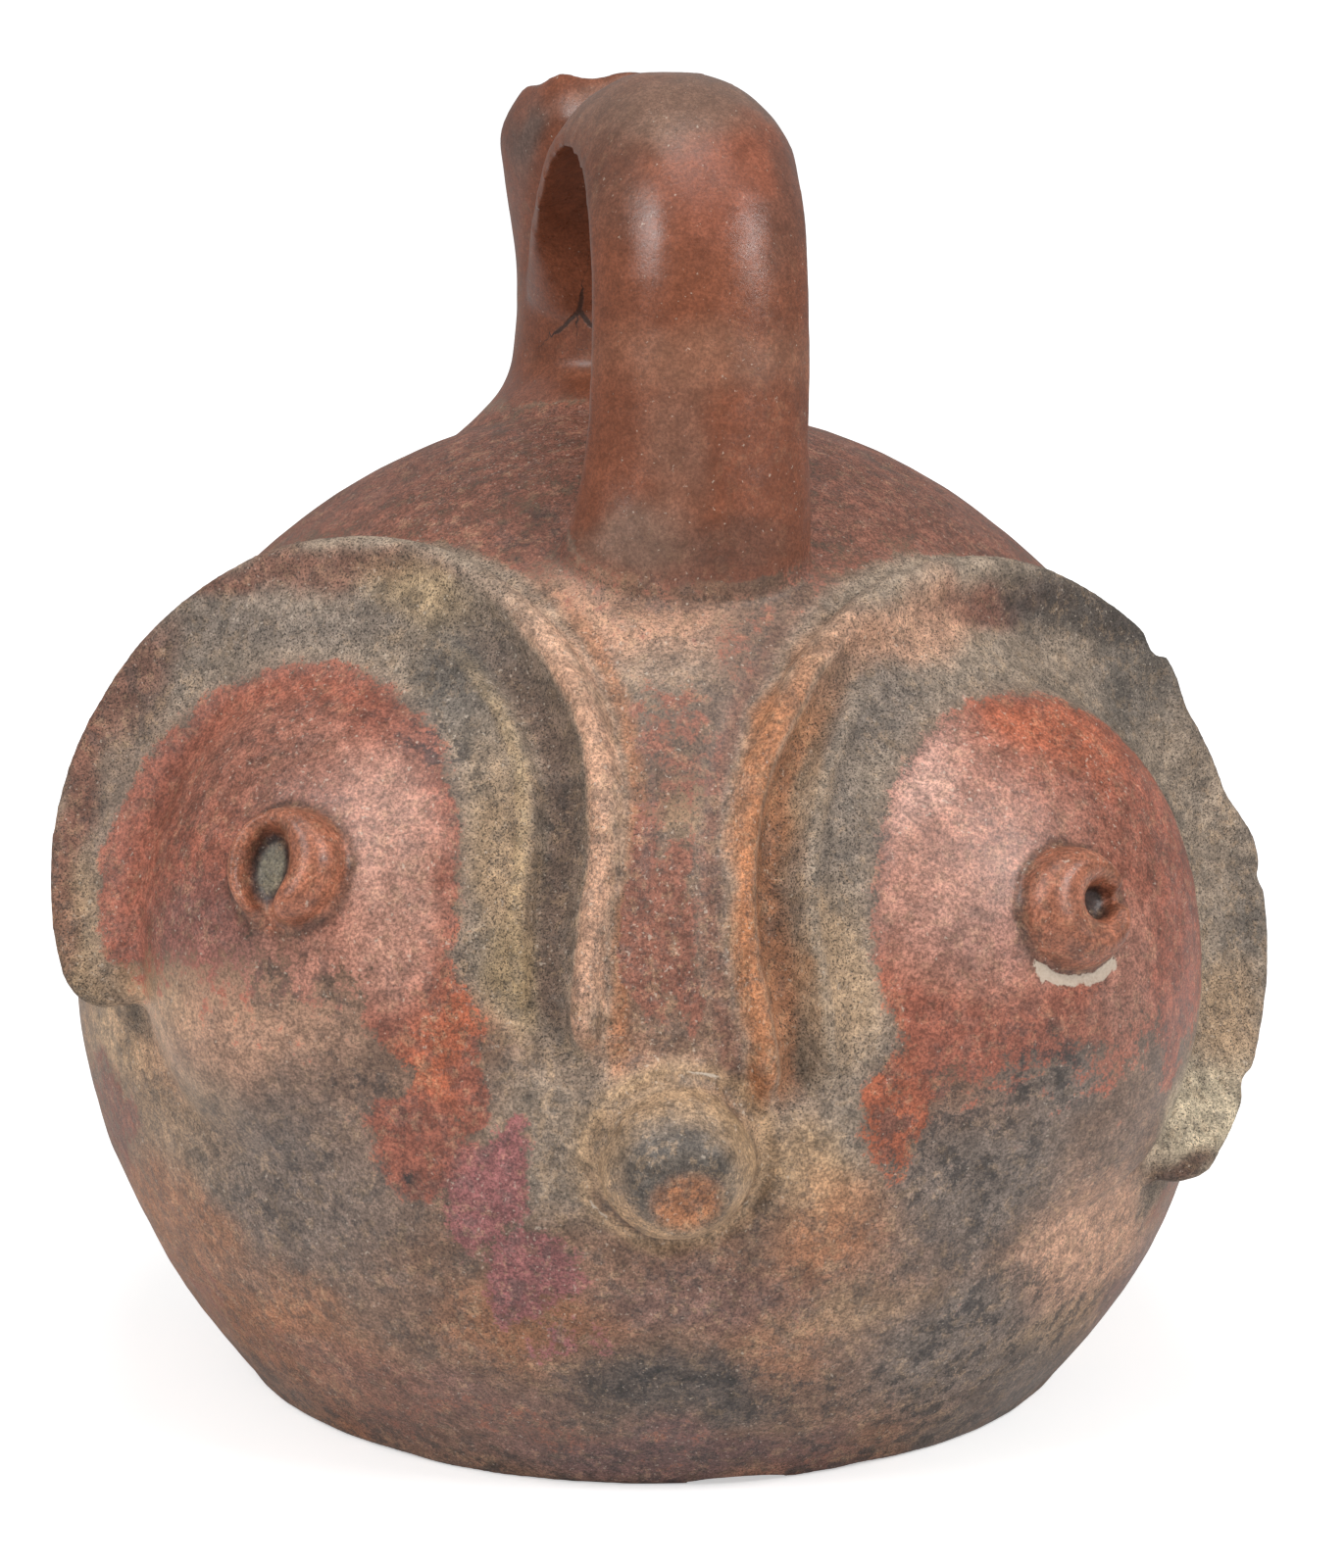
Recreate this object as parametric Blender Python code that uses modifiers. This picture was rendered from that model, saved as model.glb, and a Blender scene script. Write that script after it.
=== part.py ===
"""Owl effigy jar: one hollow piece of fired clay with a spout, a strap handle and a moulded owl face.

Lengths are in millimetres up to the named scale MM. The origin is the middle of the flat underside,
+Z is up and the face looks towards -Y. Azimuths run from -Y towards +X, and "left" is the viewer's left.
"""

import math

import bmesh
import bpy
import numpy as np
from mathutils import Matrix, Vector

MM = 0.001

# Body: a sphere cut flat under its middle
BODY_RADIUS = 84.0
BODY_CENTRE_Z = 58.0
WALL = 5.5
FLOOR_THICKNESS = 7.0
BASE_RADIUS = 60.0
BASE_EDGE_DROP = 1.6
LOWER_SHIFT = 1.4
LOWER_SHIFT_SPAN = 42.0
BODY_STEPS = 200
BODY_ARC_STEPS = 110

# Chip out of the front edge of the underside
CHIP_WIDTH = 15.0
CHIP_HEIGHT = 1.4
CHIP_DEPTH = 7.0
CHIP_AZIMUTH = 9.0

# Eye discs: each has its own plane, because the maker set them by hand
EYES = {
    "left": {
        "azimuth": -30.3,
        "elevation": 22.4,
        "plane_offset": 80.2,
        "across": -11.7,
        "up": 2.6,
        "rim_radius": 43.4,
        "nose_angle": -30.0,
        "nose_spread": 0.0095,
        "nose_sink": 0.0,
        "nose_end_angle": 9.0,
        "outer_angle": 224.0,
        "outer_end_angle": 14.0,
        "ring_level": -0.6,
        "dome_across": -4.5,
        "dome_up": -9.5,
        "dome_half_width": 32.5,
        "dome_half_height": 38.0,
        "dome_rise": 8.6,
        "dome_outer_edge": 1.0,
        "dome_nose_edge": 1.6,
        "pupil_across": 3.5,
        "pupil_up": -4.3,
        "channel_start": 2.2,
        "channel_slope": 3.4,
        "channel_depth": 3.6,
        "lip_inset": 11.6,
        "lip_half_width": 1.7,
        "lip_height": 0.7,
    },
    "right": {
        "azimuth": 38.9,
        "elevation": 16.6,
        "plane_offset": 75.2,
        "across": 5.2,
        "up": -0.3,
        "rim_radius": 50.0,
        "nose_angle": 203.0,
        "nose_spread": 0.008,
        "nose_sink": 2.2,
        "nose_end_angle": 12.0,
        "outer_angle": -66.0,
        "outer_end_angle": 11.0,
        "ring_level": -1.6,
        "dome_across": -0.5,
        "dome_up": -6.0,
        "dome_half_width": 30.5,
        "dome_half_height": 37.0,
        "dome_rise": 7.4,
        "dome_outer_edge": 0.5,
        "dome_nose_edge": 1.4,
        "pupil_across": -6.5,
        "pupil_up": 0.4,
        "channel_start": 1.0,
        "channel_slope": 5.0,
        "channel_depth": 2.8,
        "lip_inset": 9.2,
        "lip_half_width": 1.7,
        "lip_height": 1.5,
    },
}
DOME_CAVITY_SHARE = 0.8

# Disc flange, measured in its own section: along the radius and along the disc's normal
FLANGE_EDGE = 4.2
FLANGE_INNER = 20.0
FLANGE_NARROWEST = 14.0
FLANGE_BACK = 11.0
FLANGE_ROOT_INSET = 10.0
FLANGE_DISH = 1.1
FLANGE_ROOT = 13.0
FLANGE_STEPS = 84

# Ring between each dome and its edge
RING_INSET = 3.0
RING_FADE = 2.0
RING_END_FADE = 14.0
RING_BLEND = 2.2
RING_END_BLEND = 6.0
RING_HIDDEN = 20.0
RING_NOSE_FADE = 26.0

# Channel and inner lip along the nose side of each disc: spans and fades in degrees around it
NOSE_SPAN = 74.0
NOSE_FADE = 38.0
NOSE_END_FADE = 6.0
NOSE_SINK_ANGLE = 50.0
NOSE_SINK_FADE = 30.0
LIP_STEEPNESS = 2.6

# Stretches where a disc's edge is broken back: centre angle, half width, depth
RIM_BREAKS = {
    "left": ((231.0, 14.0, 5.0),),
    "right": ((21.0, 19.0, 3.2), (42.0, 3.0, 1.4), (-3.0, 2.0, 0.8), (-39.0, 3.0, 1.2)),
}

# Beak: a blunt cone below the bridge of the nose
BEAK_AZIMUTH = -0.6
BEAK_ELEVATION = -2.2
BEAK_LEAN_ACROSS = 1.5
BEAK_LEAN_UP = -1.0
BEAK_BASE_RADIUS = 11.4
BEAK_TIP_RADIUS = 6.4
BEAK_SWELL = 0.7
BEAK_HEIGHT = 11.5
BEAK_SKIRT = 3.0

# Pupils: rolls of clay bent round a hollow, which is off the middle and open on one side
PUPIL_RADIUS = 8.2
PUPIL_HEIGHT = 4.6
PUPIL_ROOT = 6.0
PUPIL_END_ANGLE = 24.0
PUPIL_STEPS = 48
PUPIL_SECTION_POINTS = 20
PUPIL_HOLES = {
    "left": {
        "across": -2.3,
        "up": -0.3,
        "half_width": 2.9,
        "half_height": 5.0,
        "gap_angle": -86.0,
        "gap_half_angle": 12.0,
        "depth": 3.2,
    },
    "right": {
        "across": 3.1,
        "up": 0.1,
        "half_width": 2.2,
        "half_height": 2.4,
        "gap_angle": 2.0,
        "gap_half_angle": 9.0,
        "depth": 6.0,
    },
}

# Spout at the back of the shoulder: height and outer radius down its side
SPOUT_X = -1.5
SPOUT_Y = 22.0
SPOUT_RIM_Z = 188.8
SPOUT_OUTSIDE = (
    (185.6, 17.8),
    (181.6, 19.3),
    (174.0, 18.6),
    (163.0, 17.0),
    (156.0, 16.5),
    (149.0, 16.9),
    (145.0, 17.3),
    (141.4, 19.2),
    (137.7, 22.4),
    (134.2, 26.4),
    (129.5, 30.5),
)
SPOUT_LIP_RADIUS = 15.6
SPOUT_BORE_RIM = 14.4
SPOUT_BORE_RIM_DEPTH = 9.0
SPOUT_BORE_NECK = 11.0
SPOUT_BORE_FOOT = 14.5
SPOUT_NECK_Z = 156.0
SPOUT_FLARE_Z = 151.0
SPOUT_FLARE_SPAN = 13.0
SPOUT_FOOT_Z = 135.0
SPOUT_BORE_DEPTH = 12.0
SPOUT_STEPS = 72
SPOUT_ROUNDING_STEPS = 2
RIM_WAVE = 0.5
RIM_WAVES = 9
RIM_WAVE_TURN = 198.0
RIM_DROP = 8.0
RIM_DROP_START = 8.0
RIM_DROP_SPAN = 26.0
RIM_SIDE_DROP = 2.2

# Strap handle: sideways, depth and height of its middle line, from the brow up and over to the spout
STRAP_PATH = (
    (3.6, -47.0, 119.0),
    (4.1, -48.2, 128.0),
    (5.0, -46.6, 138.0),
    (5.4, -44.8, 152.0),
    (5.4, -42.2, 166.0),
    (5.0, -37.0, 176.0),
    (4.2, -28.0, 183.2),
    (2.6, -17.0, 185.6),
    (0.2, -7.5, 181.4),
    (-1.6, 0.5, 172.0),
    (-2.4, 8.0, 161.5),
    (-2.4, 15.0, 151.0),
)
STRAP_WIDTH = 28.8
STRAP_FOOT_WIDTH = 39.0
STRAP_FOOT_FLARE = 13.0
STRAP_FOOT_LEFT_SHARE = 0.7
STRAP_MIDDLE = 6.4
STRAP_EDGE = 2.6
STRAP_CROWN = 6.4
STRAP_CROWN_POWER = 2.8
STRAP_WRAP = 7.0
STRAP_WRAP_SPAN = 34.0
STRAP_STATIONS = 64
STRAP_SECTION_POINTS = 11

# Fine steps of the joined clay surface and of the finished facets
CLAY_VOXEL = 1.15
CLAY_SMOOTHING = 3
FACET_RATIO = 0.031
CAVITY_STEPS = 44
CAVITY_ARC_STEPS = 18

CLAY_COLOUR = (0.27, 0.12, 0.075, 1.0)
CLAY_ROUGHNESS = 0.55


def clear_scene():
    for obj in list(bpy.data.objects):
        bpy.data.objects.remove(obj, do_unlink=True)
    for collection in list(bpy.data.collections):
        bpy.data.collections.remove(collection)


def new_collection(name):
    collection = bpy.data.collections.new(name)
    bpy.context.scene.collection.children.link(collection)
    return collection


def smooth_step(value):
    clipped = np.clip(value, 0.0, 1.0)
    return clipped * clipped * (3.0 - 2.0 * clipped)


def direction(azimuth, elevation):
    a = math.radians(azimuth)
    e = math.radians(elevation)
    return np.array([math.sin(a) * math.cos(e), -math.cos(a) * math.cos(e), math.sin(e)])


def body_centre():
    return np.array([0.0, 0.0, BODY_CENTRE_Z])


def frame_axes(normal):
    """Across and up in the plane that faces along the normal."""
    across = np.cross([0.0, 0.0, 1.0], normal)
    across = across / np.linalg.norm(across)
    return across, np.cross(normal, across)


def eye_frame(eye):
    """Centre of the disc's circle, with its across, up and outward directions."""
    normal = direction(eye["azimuth"], eye["elevation"])
    across, up = frame_axes(normal)
    centre = body_centre() + eye["plane_offset"] * normal + eye["across"] * across + eye["up"] * up
    return centre, across, up, normal


def smooth_max(a, b, width):
    blend = np.clip(0.5 + 0.5 * (a - b) / width, 0.0, 1.0)
    return b + (a - b) * blend + width * blend * (1.0 - blend)


def dome_height(rays, eye, inset):
    """How far the dome swells over the body along each ray: steep on the disc's outer side, soft elsewhere."""
    centre, across, up, normal = eye_frame(eye)
    offset = centre - body_centre()
    reach = (offset @ normal) / np.maximum(rays @ normal, 0.2)
    flat = rays * reach[:, None] - offset
    x = (flat @ across - eye["dome_across"]) / (eye["dome_half_width"] - inset)
    y = (flat @ up - eye["dome_up"]) / (eye["dome_half_height"] - inset)
    radius = np.hypot(x, y)
    outward = math.copysign(1.0, eye["azimuth"]) * x / np.maximum(radius, 0.01)
    outer = smooth_step(0.5 + 0.8 * outward)
    edge = eye["dome_nose_edge"] + (eye["dome_outer_edge"] - eye["dome_nose_edge"]) * outer
    swell = eye["dome_rise"] * np.maximum(1.0 - radius**2, 0.0) ** edge
    return swell * (rays @ normal > 0.3)


def rim_radius(eye_name, angle):
    """Radius of the disc's edge at an angle in degrees, with the broken stretches taken back."""
    eye = EYES[eye_name]
    radius = np.full(np.shape(angle), eye["rim_radius"], float)
    radius = radius + eye["nose_spread"] * np.maximum(nose_side(eye, angle), 0.0) ** 2
    for centre, half_width, depth in RIM_BREAKS[eye_name]:
        away = np.abs(angle - centre) / half_width
        radius = radius - depth * smooth_step(1.6 - 1.6 * away)
    return radius


def nose_side(eye, angle):
    """Degrees of the angle below the level of the circle's middle on its nose side."""
    if eye["nose_angle"] < 90.0:
        return -angle
    return angle - 180.0


def nose_weight(eye, angle):
    """1 along the channel on the nose side of the disc, fading to 0 at both of its ends."""
    below = nose_side(eye, angle)
    lower_end = nose_side(eye, eye["nose_angle"])
    lower = smooth_step((lower_end - below) / NOSE_END_FADE)
    return lower * smooth_step((below + NOSE_SPAN) / NOSE_FADE)


def nose_sink(eye, angle):
    """How far the disc's edge sinks into the bridge of the nose at an angle."""
    return eye["nose_sink"] * smooth_step((nose_side(eye, angle) + NOSE_SINK_ANGLE) / NOSE_SINK_FADE)


def disc_place(rays, eye):
    """Where each ray meets the disc's plane: its angle, its distance from the circle's middle and its reach."""
    centre, across, up, normal = eye_frame(eye)
    offset = centre - body_centre()
    facing = np.maximum(rays @ normal, 0.2)
    reach = (offset @ normal) / facing
    flat = rays * reach[:, None] - offset
    x, y = flat @ across, flat @ up
    angle = np.degrees(np.arctan2(y, x))
    angle = np.where(angle < -90.0, angle + 360.0, angle)
    return angle, np.hypot(x, y), reach + eye["ring_level"] / facing, rays @ normal > 0.3


def ring_reach(rays, eye_name):
    """Reach of the disc's flat ring, sunk out of the way beyond its edge and its ends, and its blend width."""
    eye = EYES[eye_name]
    angle, radius, reach, facing = disc_place(rays, eye)
    inside = smooth_step((rim_radius(eye_name, angle) - RING_INSET - radius) / RING_FADE)
    to_outer_end = (angle - eye["outer_angle"]) * np.sign(eye["nose_angle"] - eye["outer_angle"])
    outer = smooth_step(to_outer_end / RING_END_FADE)
    nose = smooth_step(-nose_side(eye, angle) / RING_NOSE_FADE)
    shown = inside * outer * nose * facing
    level = reach - nose_sink(eye, angle) - RING_HIDDEN * (1.0 - shown)
    return np.where(shown > 0.0, level, 0.0), RING_BLEND + RING_END_BLEND * (1.0 - outer)


def channel_change(rays, eye_name):
    """Radial change of the body where the channel and the inner lip run."""
    eye = EYES[eye_name]
    angle, radius, _, facing = disc_place(rays, eye)
    inset = rim_radius(eye_name, angle) - radius
    falling = smooth_step((inset - eye["channel_start"]) / eye["channel_slope"])
    rising = smooth_step((eye["lip_inset"] - inset) / LIP_STEEPNESS)
    lip = np.exp(-(((inset - eye["lip_inset"]) / eye["lip_half_width"]) ** 2))
    change = eye["lip_height"] * lip - eye["channel_depth"] * falling * rising
    return change * nose_weight(eye, angle) * facing


def body_reach(rays):
    """Distance of the outer surface from the body's centre along each ray, for the part above the base."""
    reach = np.full(len(rays), BODY_RADIUS)
    for eye in EYES.values():
        reach = reach + dome_height(rays, eye, 0.0)
    for eye_name in EYES:
        reach = smooth_max(reach, *ring_reach(rays, eye_name))
        reach = reach + channel_change(rays, eye_name)
    return reach


def mesh_from(name, points, faces):
    mesh = bpy.data.meshes.new(name)
    mesh.from_pydata([tuple(float(value) * MM for value in point) for point in points], [], faces)
    mesh.update()
    return mesh


def faced_outward(mesh):
    work = bmesh.new()
    work.from_mesh(mesh)
    bmesh.ops.recalc_face_normals(work, faces=work.faces)
    work.to_mesh(mesh)
    work.free()
    return mesh


def turned(name, profile, steps, matrix):
    """A profile of radius and height, top to bottom, turned about Z and closed on the axis."""
    outline = mesh_from("Profile", [(radius, 0.0, height) for radius, height in profile], [])
    outline.edges.add(len(profile) - 1)
    for index, edge in enumerate(outline.edges):
        edge.vertices = (index, index + 1)
    blank = bpy.data.objects.new("Blank", outline)
    bpy.context.scene.collection.objects.link(blank)
    screw = blank.modifiers.new("Turn", "SCREW")
    screw.steps = steps
    screw.render_steps = steps
    screw.use_merge_vertices = True
    screw.merge_threshold = 0.00001
    bpy.context.view_layer.update()
    graph = bpy.context.evaluated_depsgraph_get()
    mesh = bpy.data.meshes.new_from_object(blank.evaluated_get(graph))
    mesh.name = name
    bpy.data.objects.remove(blank, do_unlink=True)
    bpy.data.meshes.remove(outline)
    work = bmesh.new()
    work.from_mesh(mesh)
    bmesh.ops.remove_doubles(work, verts=work.verts, dist=0.00001)
    work.to_mesh(mesh)
    work.free()
    mesh.transform(matrix)
    return faced_outward(mesh)


def placed(point, normal):
    """Matrix that sets +Z along the normal at a point given in millimetres."""
    across, up = frame_axes(np.asarray(normal, float))
    rotation = Matrix((across, up, normal)).transposed().to_4x4()
    return Matrix.Translation(Vector([value * MM for value in point])) @ rotation


def lofted(name, sections):
    """A closed solid through rings of points, with flat ends."""
    sections = np.asarray(sections, float)
    count, ring = sections.shape[:2]
    points = sections.reshape(-1, 3)
    faces = []
    for station in range(count - 1):
        for index in range(ring):
            after = (index + 1) % ring
            here, there = station * ring, (station + 1) * ring
            faces.append((here + index, here + after, there + after, there + index))
    faces.append(tuple(range(ring)))
    faces.append(tuple(range((count - 1) * ring, count * ring)))
    return faced_outward(mesh_from(name, points, faces))


def body_profile():
    arc = []
    lowest = math.asin((BASE_EDGE_DROP + 1.0 - BODY_CENTRE_Z) / BODY_RADIUS)
    for index in range(BODY_ARC_STEPS + 1):
        angle = math.pi / 2 + (lowest - math.pi / 2) * index / BODY_ARC_STEPS
        arc.append((BODY_RADIUS * math.cos(angle), BODY_CENTRE_Z + BODY_RADIUS * math.sin(angle)))
    edge_radius = arc[-1][0]
    middle_radius = 0.5 * (edge_radius + BASE_RADIUS)
    arc.append((middle_radius + 0.4, 0.5 * BASE_EDGE_DROP))
    arc.append((BASE_RADIUS, -0.3 * BASE_EDGE_DROP))
    arc.append((BASE_RADIUS - 4.0, -2.0 * BASE_EDGE_DROP))
    arc.append((0.0, -2.0 * BASE_EDGE_DROP))
    return arc


def body_mesh():
    """The turned body, with its upper points moved out to the domes and in to the furrows."""
    mesh = turned("Body", body_profile(), BODY_STEPS, Matrix.Identity(4))
    points = np.empty(len(mesh.vertices) * 3)
    mesh.vertices.foreach_get("co", points)
    points = points.reshape(-1, 3) / MM
    rays = points - body_centre()
    distance = np.linalg.norm(rays, axis=1)
    rays = rays / distance[:, None]
    moved = body_centre() + rays * (body_reach(rays) + distance - BODY_RADIUS)[:, None]
    above = points[:, 2] > BASE_EDGE_DROP + 2.0
    points = np.where(above[:, None], moved, points)
    points[:, 0] += LOWER_SHIFT * smooth_step((BODY_CENTRE_Z + 4.0 - points[:, 2]) / LOWER_SHIFT_SPAN)
    mesh.vertices.foreach_set("co", (points * MM).ravel())
    mesh.update()
    return mesh


def flange_section(eye, centre, axes, angle, rim, size):
    """Ring of points around the flange at one angle, drawn in towards its root by size below 1."""
    across, up, normal = axes
    outward = math.cos(math.radians(angle)) * across + math.sin(math.radians(angle)) * up
    centre = centre - float(nose_sink(eye, angle)) * normal
    inner = min(FLANGE_INNER, rim - FLANGE_NARROWEST)
    middle = 0.55 * inner + 0.45 * rim
    shape = [
        (inner, -4.0),
        (middle, -2.0 * FLANGE_DISH),
        (rim - 5.0, -0.8 * FLANGE_DISH),
        (rim - 2.6, 0.15),
        (rim - 1.0, 0.0),
        (rim, -1.1),
        (rim - 0.1, -FLANGE_EDGE + 1.0),
        (rim - 1.5, -FLANGE_EDGE),
        (rim - 5.5, -FLANGE_EDGE - 2.4),
        (rim - FLANGE_BACK, -FLANGE_ROOT),
        (inner, -FLANGE_ROOT - 4.0),
    ]
    root = np.array([rim - FLANGE_ROOT_INSET, -FLANGE_ROOT + 3.0])
    ring = []
    for along, height in shape:
        drawn = root + (np.array([along, height]) - root) * size
        ring.append(centre + drawn[0] * outward + drawn[1] * normal)
    return ring


def flange_mesh(eye_name):
    eye = EYES[eye_name]
    centre, across, up, normal = eye_frame(eye)
    start, end = eye["nose_angle"], eye["outer_angle"]
    sections = []
    for station in range(FLANGE_STEPS + 1):
        angle = start + (end - start) * station / FLANGE_STEPS
        to_end = min(abs(angle - start) / eye["nose_end_angle"], abs(angle - end) / eye["outer_end_angle"])
        size = math.sqrt(max(1.0 - max(1.0 - to_end, 0.0) ** 2, 0.09))
        rim = float(rim_radius(eye_name, np.array([angle]))[0])
        sections.append(flange_section(eye, centre, (across, up, normal), angle, rim, size))
    return lofted("Flange_" + eye_name, sections)


def beak_mesh():
    outward = direction(BEAK_AZIMUTH, BEAK_ELEVATION)
    across, up = frame_axes(outward)
    foot = body_centre() + (BODY_RADIUS - 0.5) * outward
    tip = foot + BEAK_HEIGHT * outward + BEAK_LEAN_ACROSS * across + BEAK_LEAN_UP * up
    axis = (tip - foot) / np.linalg.norm(tip - foot)
    profile = [
        (0.0, BEAK_HEIGHT - 0.3),
        (BEAK_TIP_RADIUS - 1.4, BEAK_HEIGHT),
        (BEAK_TIP_RADIUS - 0.3, BEAK_HEIGHT - 0.4),
        (BEAK_TIP_RADIUS + 0.6, BEAK_HEIGHT - 1.5),
        (0.5 * (BEAK_BASE_RADIUS + BEAK_TIP_RADIUS) + BEAK_SWELL, 0.5 * BEAK_HEIGHT),
        (BEAK_BASE_RADIUS, 0.12 * BEAK_HEIGHT),
        (BEAK_BASE_RADIUS + 0.5 * BEAK_SKIRT, -0.4),
        (BEAK_BASE_RADIUS + BEAK_SKIRT, -2.6),
        (0.0, -5.0),
    ]
    return turned("Beak", profile, 48, placed(foot, axis))


def pupil_place(eye_name):
    """Foot of the pupil on its dome, and the direction that it stands in."""
    eye = EYES[eye_name]
    centre, across, up, normal = eye_frame(eye)
    ray = centre + eye["pupil_across"] * across + eye["pupil_up"] * up - body_centre()
    ray = ray / np.linalg.norm(ray)
    foot = body_centre() + ray * float(body_reach(ray[None, :])[0])
    step = 2.0
    slopes = []
    for way in (across, up):
        ends = []
        for sign in (1.0, -1.0):
            near = foot + sign * step * way - body_centre()
            near = near / np.linalg.norm(near)
            ends.append(body_centre() + near * float(body_reach(near[None, :])[0]))
        slopes.append(ends[0] - ends[1])
    stand = np.cross(slopes[0], slopes[1])
    return foot, stand / np.linalg.norm(stand)


def pupil_section(hole, angle, size):
    """Ring across the roll at an angle about the hollow: along the ray from the hollow and above the dome."""
    way = np.array([math.cos(math.radians(angle)), math.sin(math.radians(angle))])
    middle = np.array([hole["across"], hole["up"]])
    inner = 1.0 / math.hypot(way[0] / hole["half_width"], way[1] / hole["half_height"])
    along = middle @ way
    outer = -along + math.sqrt(along**2 - middle @ middle + PUPIL_RADIUS**2)
    centre = 0.5 * (inner + outer)
    half = 0.5 * (outer - inner) * size
    tall = PUPIL_HEIGHT * size * min(1.0, 0.62 + 0.13 * half)
    ring = []
    for index in range(PUPIL_SECTION_POINTS):
        turn = 2.0 * math.pi * index / PUPIL_SECTION_POINTS
        rise = math.sin(turn)
        place = middle + (centre + half * math.cos(turn)) * way
        ring.append((place[0], place[1], rise * (tall if rise > 0.0 else PUPIL_ROOT)))
    return ring


def pupil_mesh(eye_name):
    hole = PUPIL_HOLES[eye_name]
    start = hole["gap_angle"] + hole["gap_half_angle"]
    span = 360.0 - 2.0 * hole["gap_half_angle"]
    sections = []
    for station in range(PUPIL_STEPS + 1):
        turned_by = span * station / PUPIL_STEPS
        to_end = min(turned_by, span - turned_by) / PUPIL_END_ANGLE
        size = math.sqrt(max(1.0 - max(1.0 - to_end, 0.0) ** 2, 0.16))
        sections.append(pupil_section(hole, start + turned_by, size))
    mesh = lofted("Pupil_" + eye_name, sections)
    mesh.transform(placed(*pupil_place(eye_name)))
    return mesh


def pupil_hole_mesh(eye_name):
    hole = PUPIL_HOLES[eye_name]
    foot, stand = pupil_place(eye_name)
    across, up = frame_axes(stand)
    middle = foot + hole["across"] * across + hole["up"] * up + (PUPIL_HEIGHT + 0.6) * stand
    depth = hole["depth"]
    profile = [
        (0.0, 1.0),
        (hole["half_width"], 1.0),
        (0.92 * hole["half_width"], -0.35 * depth),
        (0.7 * hole["half_width"], -0.8 * depth),
        (0.0, -depth),
    ]
    stretch = Matrix.Diagonal((1.0, hole["half_height"] / hole["half_width"], 1.0, 1.0))
    return turned("Pupil_hole_" + eye_name, profile, 20, placed(middle, stand) @ stretch)


def rim_wave(x, y):
    """Unevenness of the worn rim around the spout, which falls away behind its front."""
    turn = np.arctan2(y - SPOUT_Y, x - SPOUT_X)
    drop = RIM_DROP * smooth_step((y - SPOUT_Y + RIM_DROP_START) / RIM_DROP_SPAN)
    drop = drop + RIM_SIDE_DROP * np.cos(turn) ** 4
    return RIM_WAVE * np.sin(RIM_WAVES * turn + math.radians(RIM_WAVE_TURN)) - drop


def wavy_rim(mesh):
    for vertex in mesh.vertices:
        x, y, z = (value / MM for value in vertex.co)
        share = smooth_step((z - SPOUT_RIM_Z + 2.0 * RIM_DROP) / (2.0 * RIM_DROP))
        vertex.co.z = (z + float(share * rim_wave(x, y))) * MM
    mesh.update()
    return mesh


def shoulder_height(x, y):
    """Height of the body's sphere at a place on its upper half."""
    return BODY_CENTRE_Z + math.sqrt(max(BODY_RADIUS**2 - x**2 - y**2, 0.0))


def fitted_to_shoulder(mesh):
    """Lets the spout's flare follow the slope of the body all the way round."""
    for vertex in mesh.vertices:
        x, y, z = (value / MM for value in vertex.co)
        radius = math.hypot(x - SPOUT_X, y - SPOUT_Y)
        share = float(smooth_step((SPOUT_FLARE_Z - z) / SPOUT_FLARE_SPAN))
        slope = shoulder_height(x, y) - shoulder_height(SPOUT_X - radius, SPOUT_Y)
        vertex.co.z = (z + share * slope) * MM
    mesh.update()
    return mesh


def corners_cut(points, rounds):
    """An open outline with each corner cut off a quarter of the way along both its sides."""
    for _ in range(rounds):
        cut = [points[0]]
        for first, second in zip(points[:-1], points[1:]):
            for share in (0.25, 0.75):
                cut.append(tuple(a + share * (b - a) for a, b in zip(first, second)))
        cut.append(points[-1])
        points = cut
    return points


def spout_mesh():
    outline = [(SPOUT_LIP_RADIUS, SPOUT_RIM_Z)]
    outline.extend((radius, height) for height, radius in SPOUT_OUTSIDE)
    profile = [(0.0, SPOUT_RIM_Z)]
    profile.extend(corners_cut(outline, SPOUT_ROUNDING_STEPS))
    profile.append((0.0, SPOUT_OUTSIDE[-1][0]))
    shift = Matrix.Translation(Vector((SPOUT_X * MM, SPOUT_Y * MM, 0.0)))
    return wavy_rim(fitted_to_shoulder(turned("Spout", profile, SPOUT_STEPS, shift)))


def bore_mesh():
    profile = [
        (0.0, SPOUT_RIM_Z + 6.0),
        (SPOUT_LIP_RADIUS + 0.8, SPOUT_RIM_Z + 6.0),
        (SPOUT_LIP_RADIUS - 0.4, SPOUT_RIM_Z + 0.4),
        (SPOUT_BORE_RIM, SPOUT_RIM_Z - 2.0),
        (SPOUT_BORE_RIM - 0.6, SPOUT_RIM_Z - SPOUT_BORE_RIM_DEPTH),
        (SPOUT_BORE_NECK, SPOUT_NECK_Z + 4.0),
        (SPOUT_BORE_NECK, SPOUT_NECK_Z - 8.0),
        (SPOUT_BORE_FOOT, SPOUT_FOOT_Z),
        (SPOUT_BORE_FOOT + 6.0, SPOUT_FOOT_Z - 6.0),
        (0.0, SPOUT_FOOT_Z - SPOUT_BORE_DEPTH),
    ]
    shift = Matrix.Translation(Vector((SPOUT_X * MM, SPOUT_Y * MM, 0.0)))
    return turned("Spout_bore", profile, CAVITY_STEPS, shift)


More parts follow.
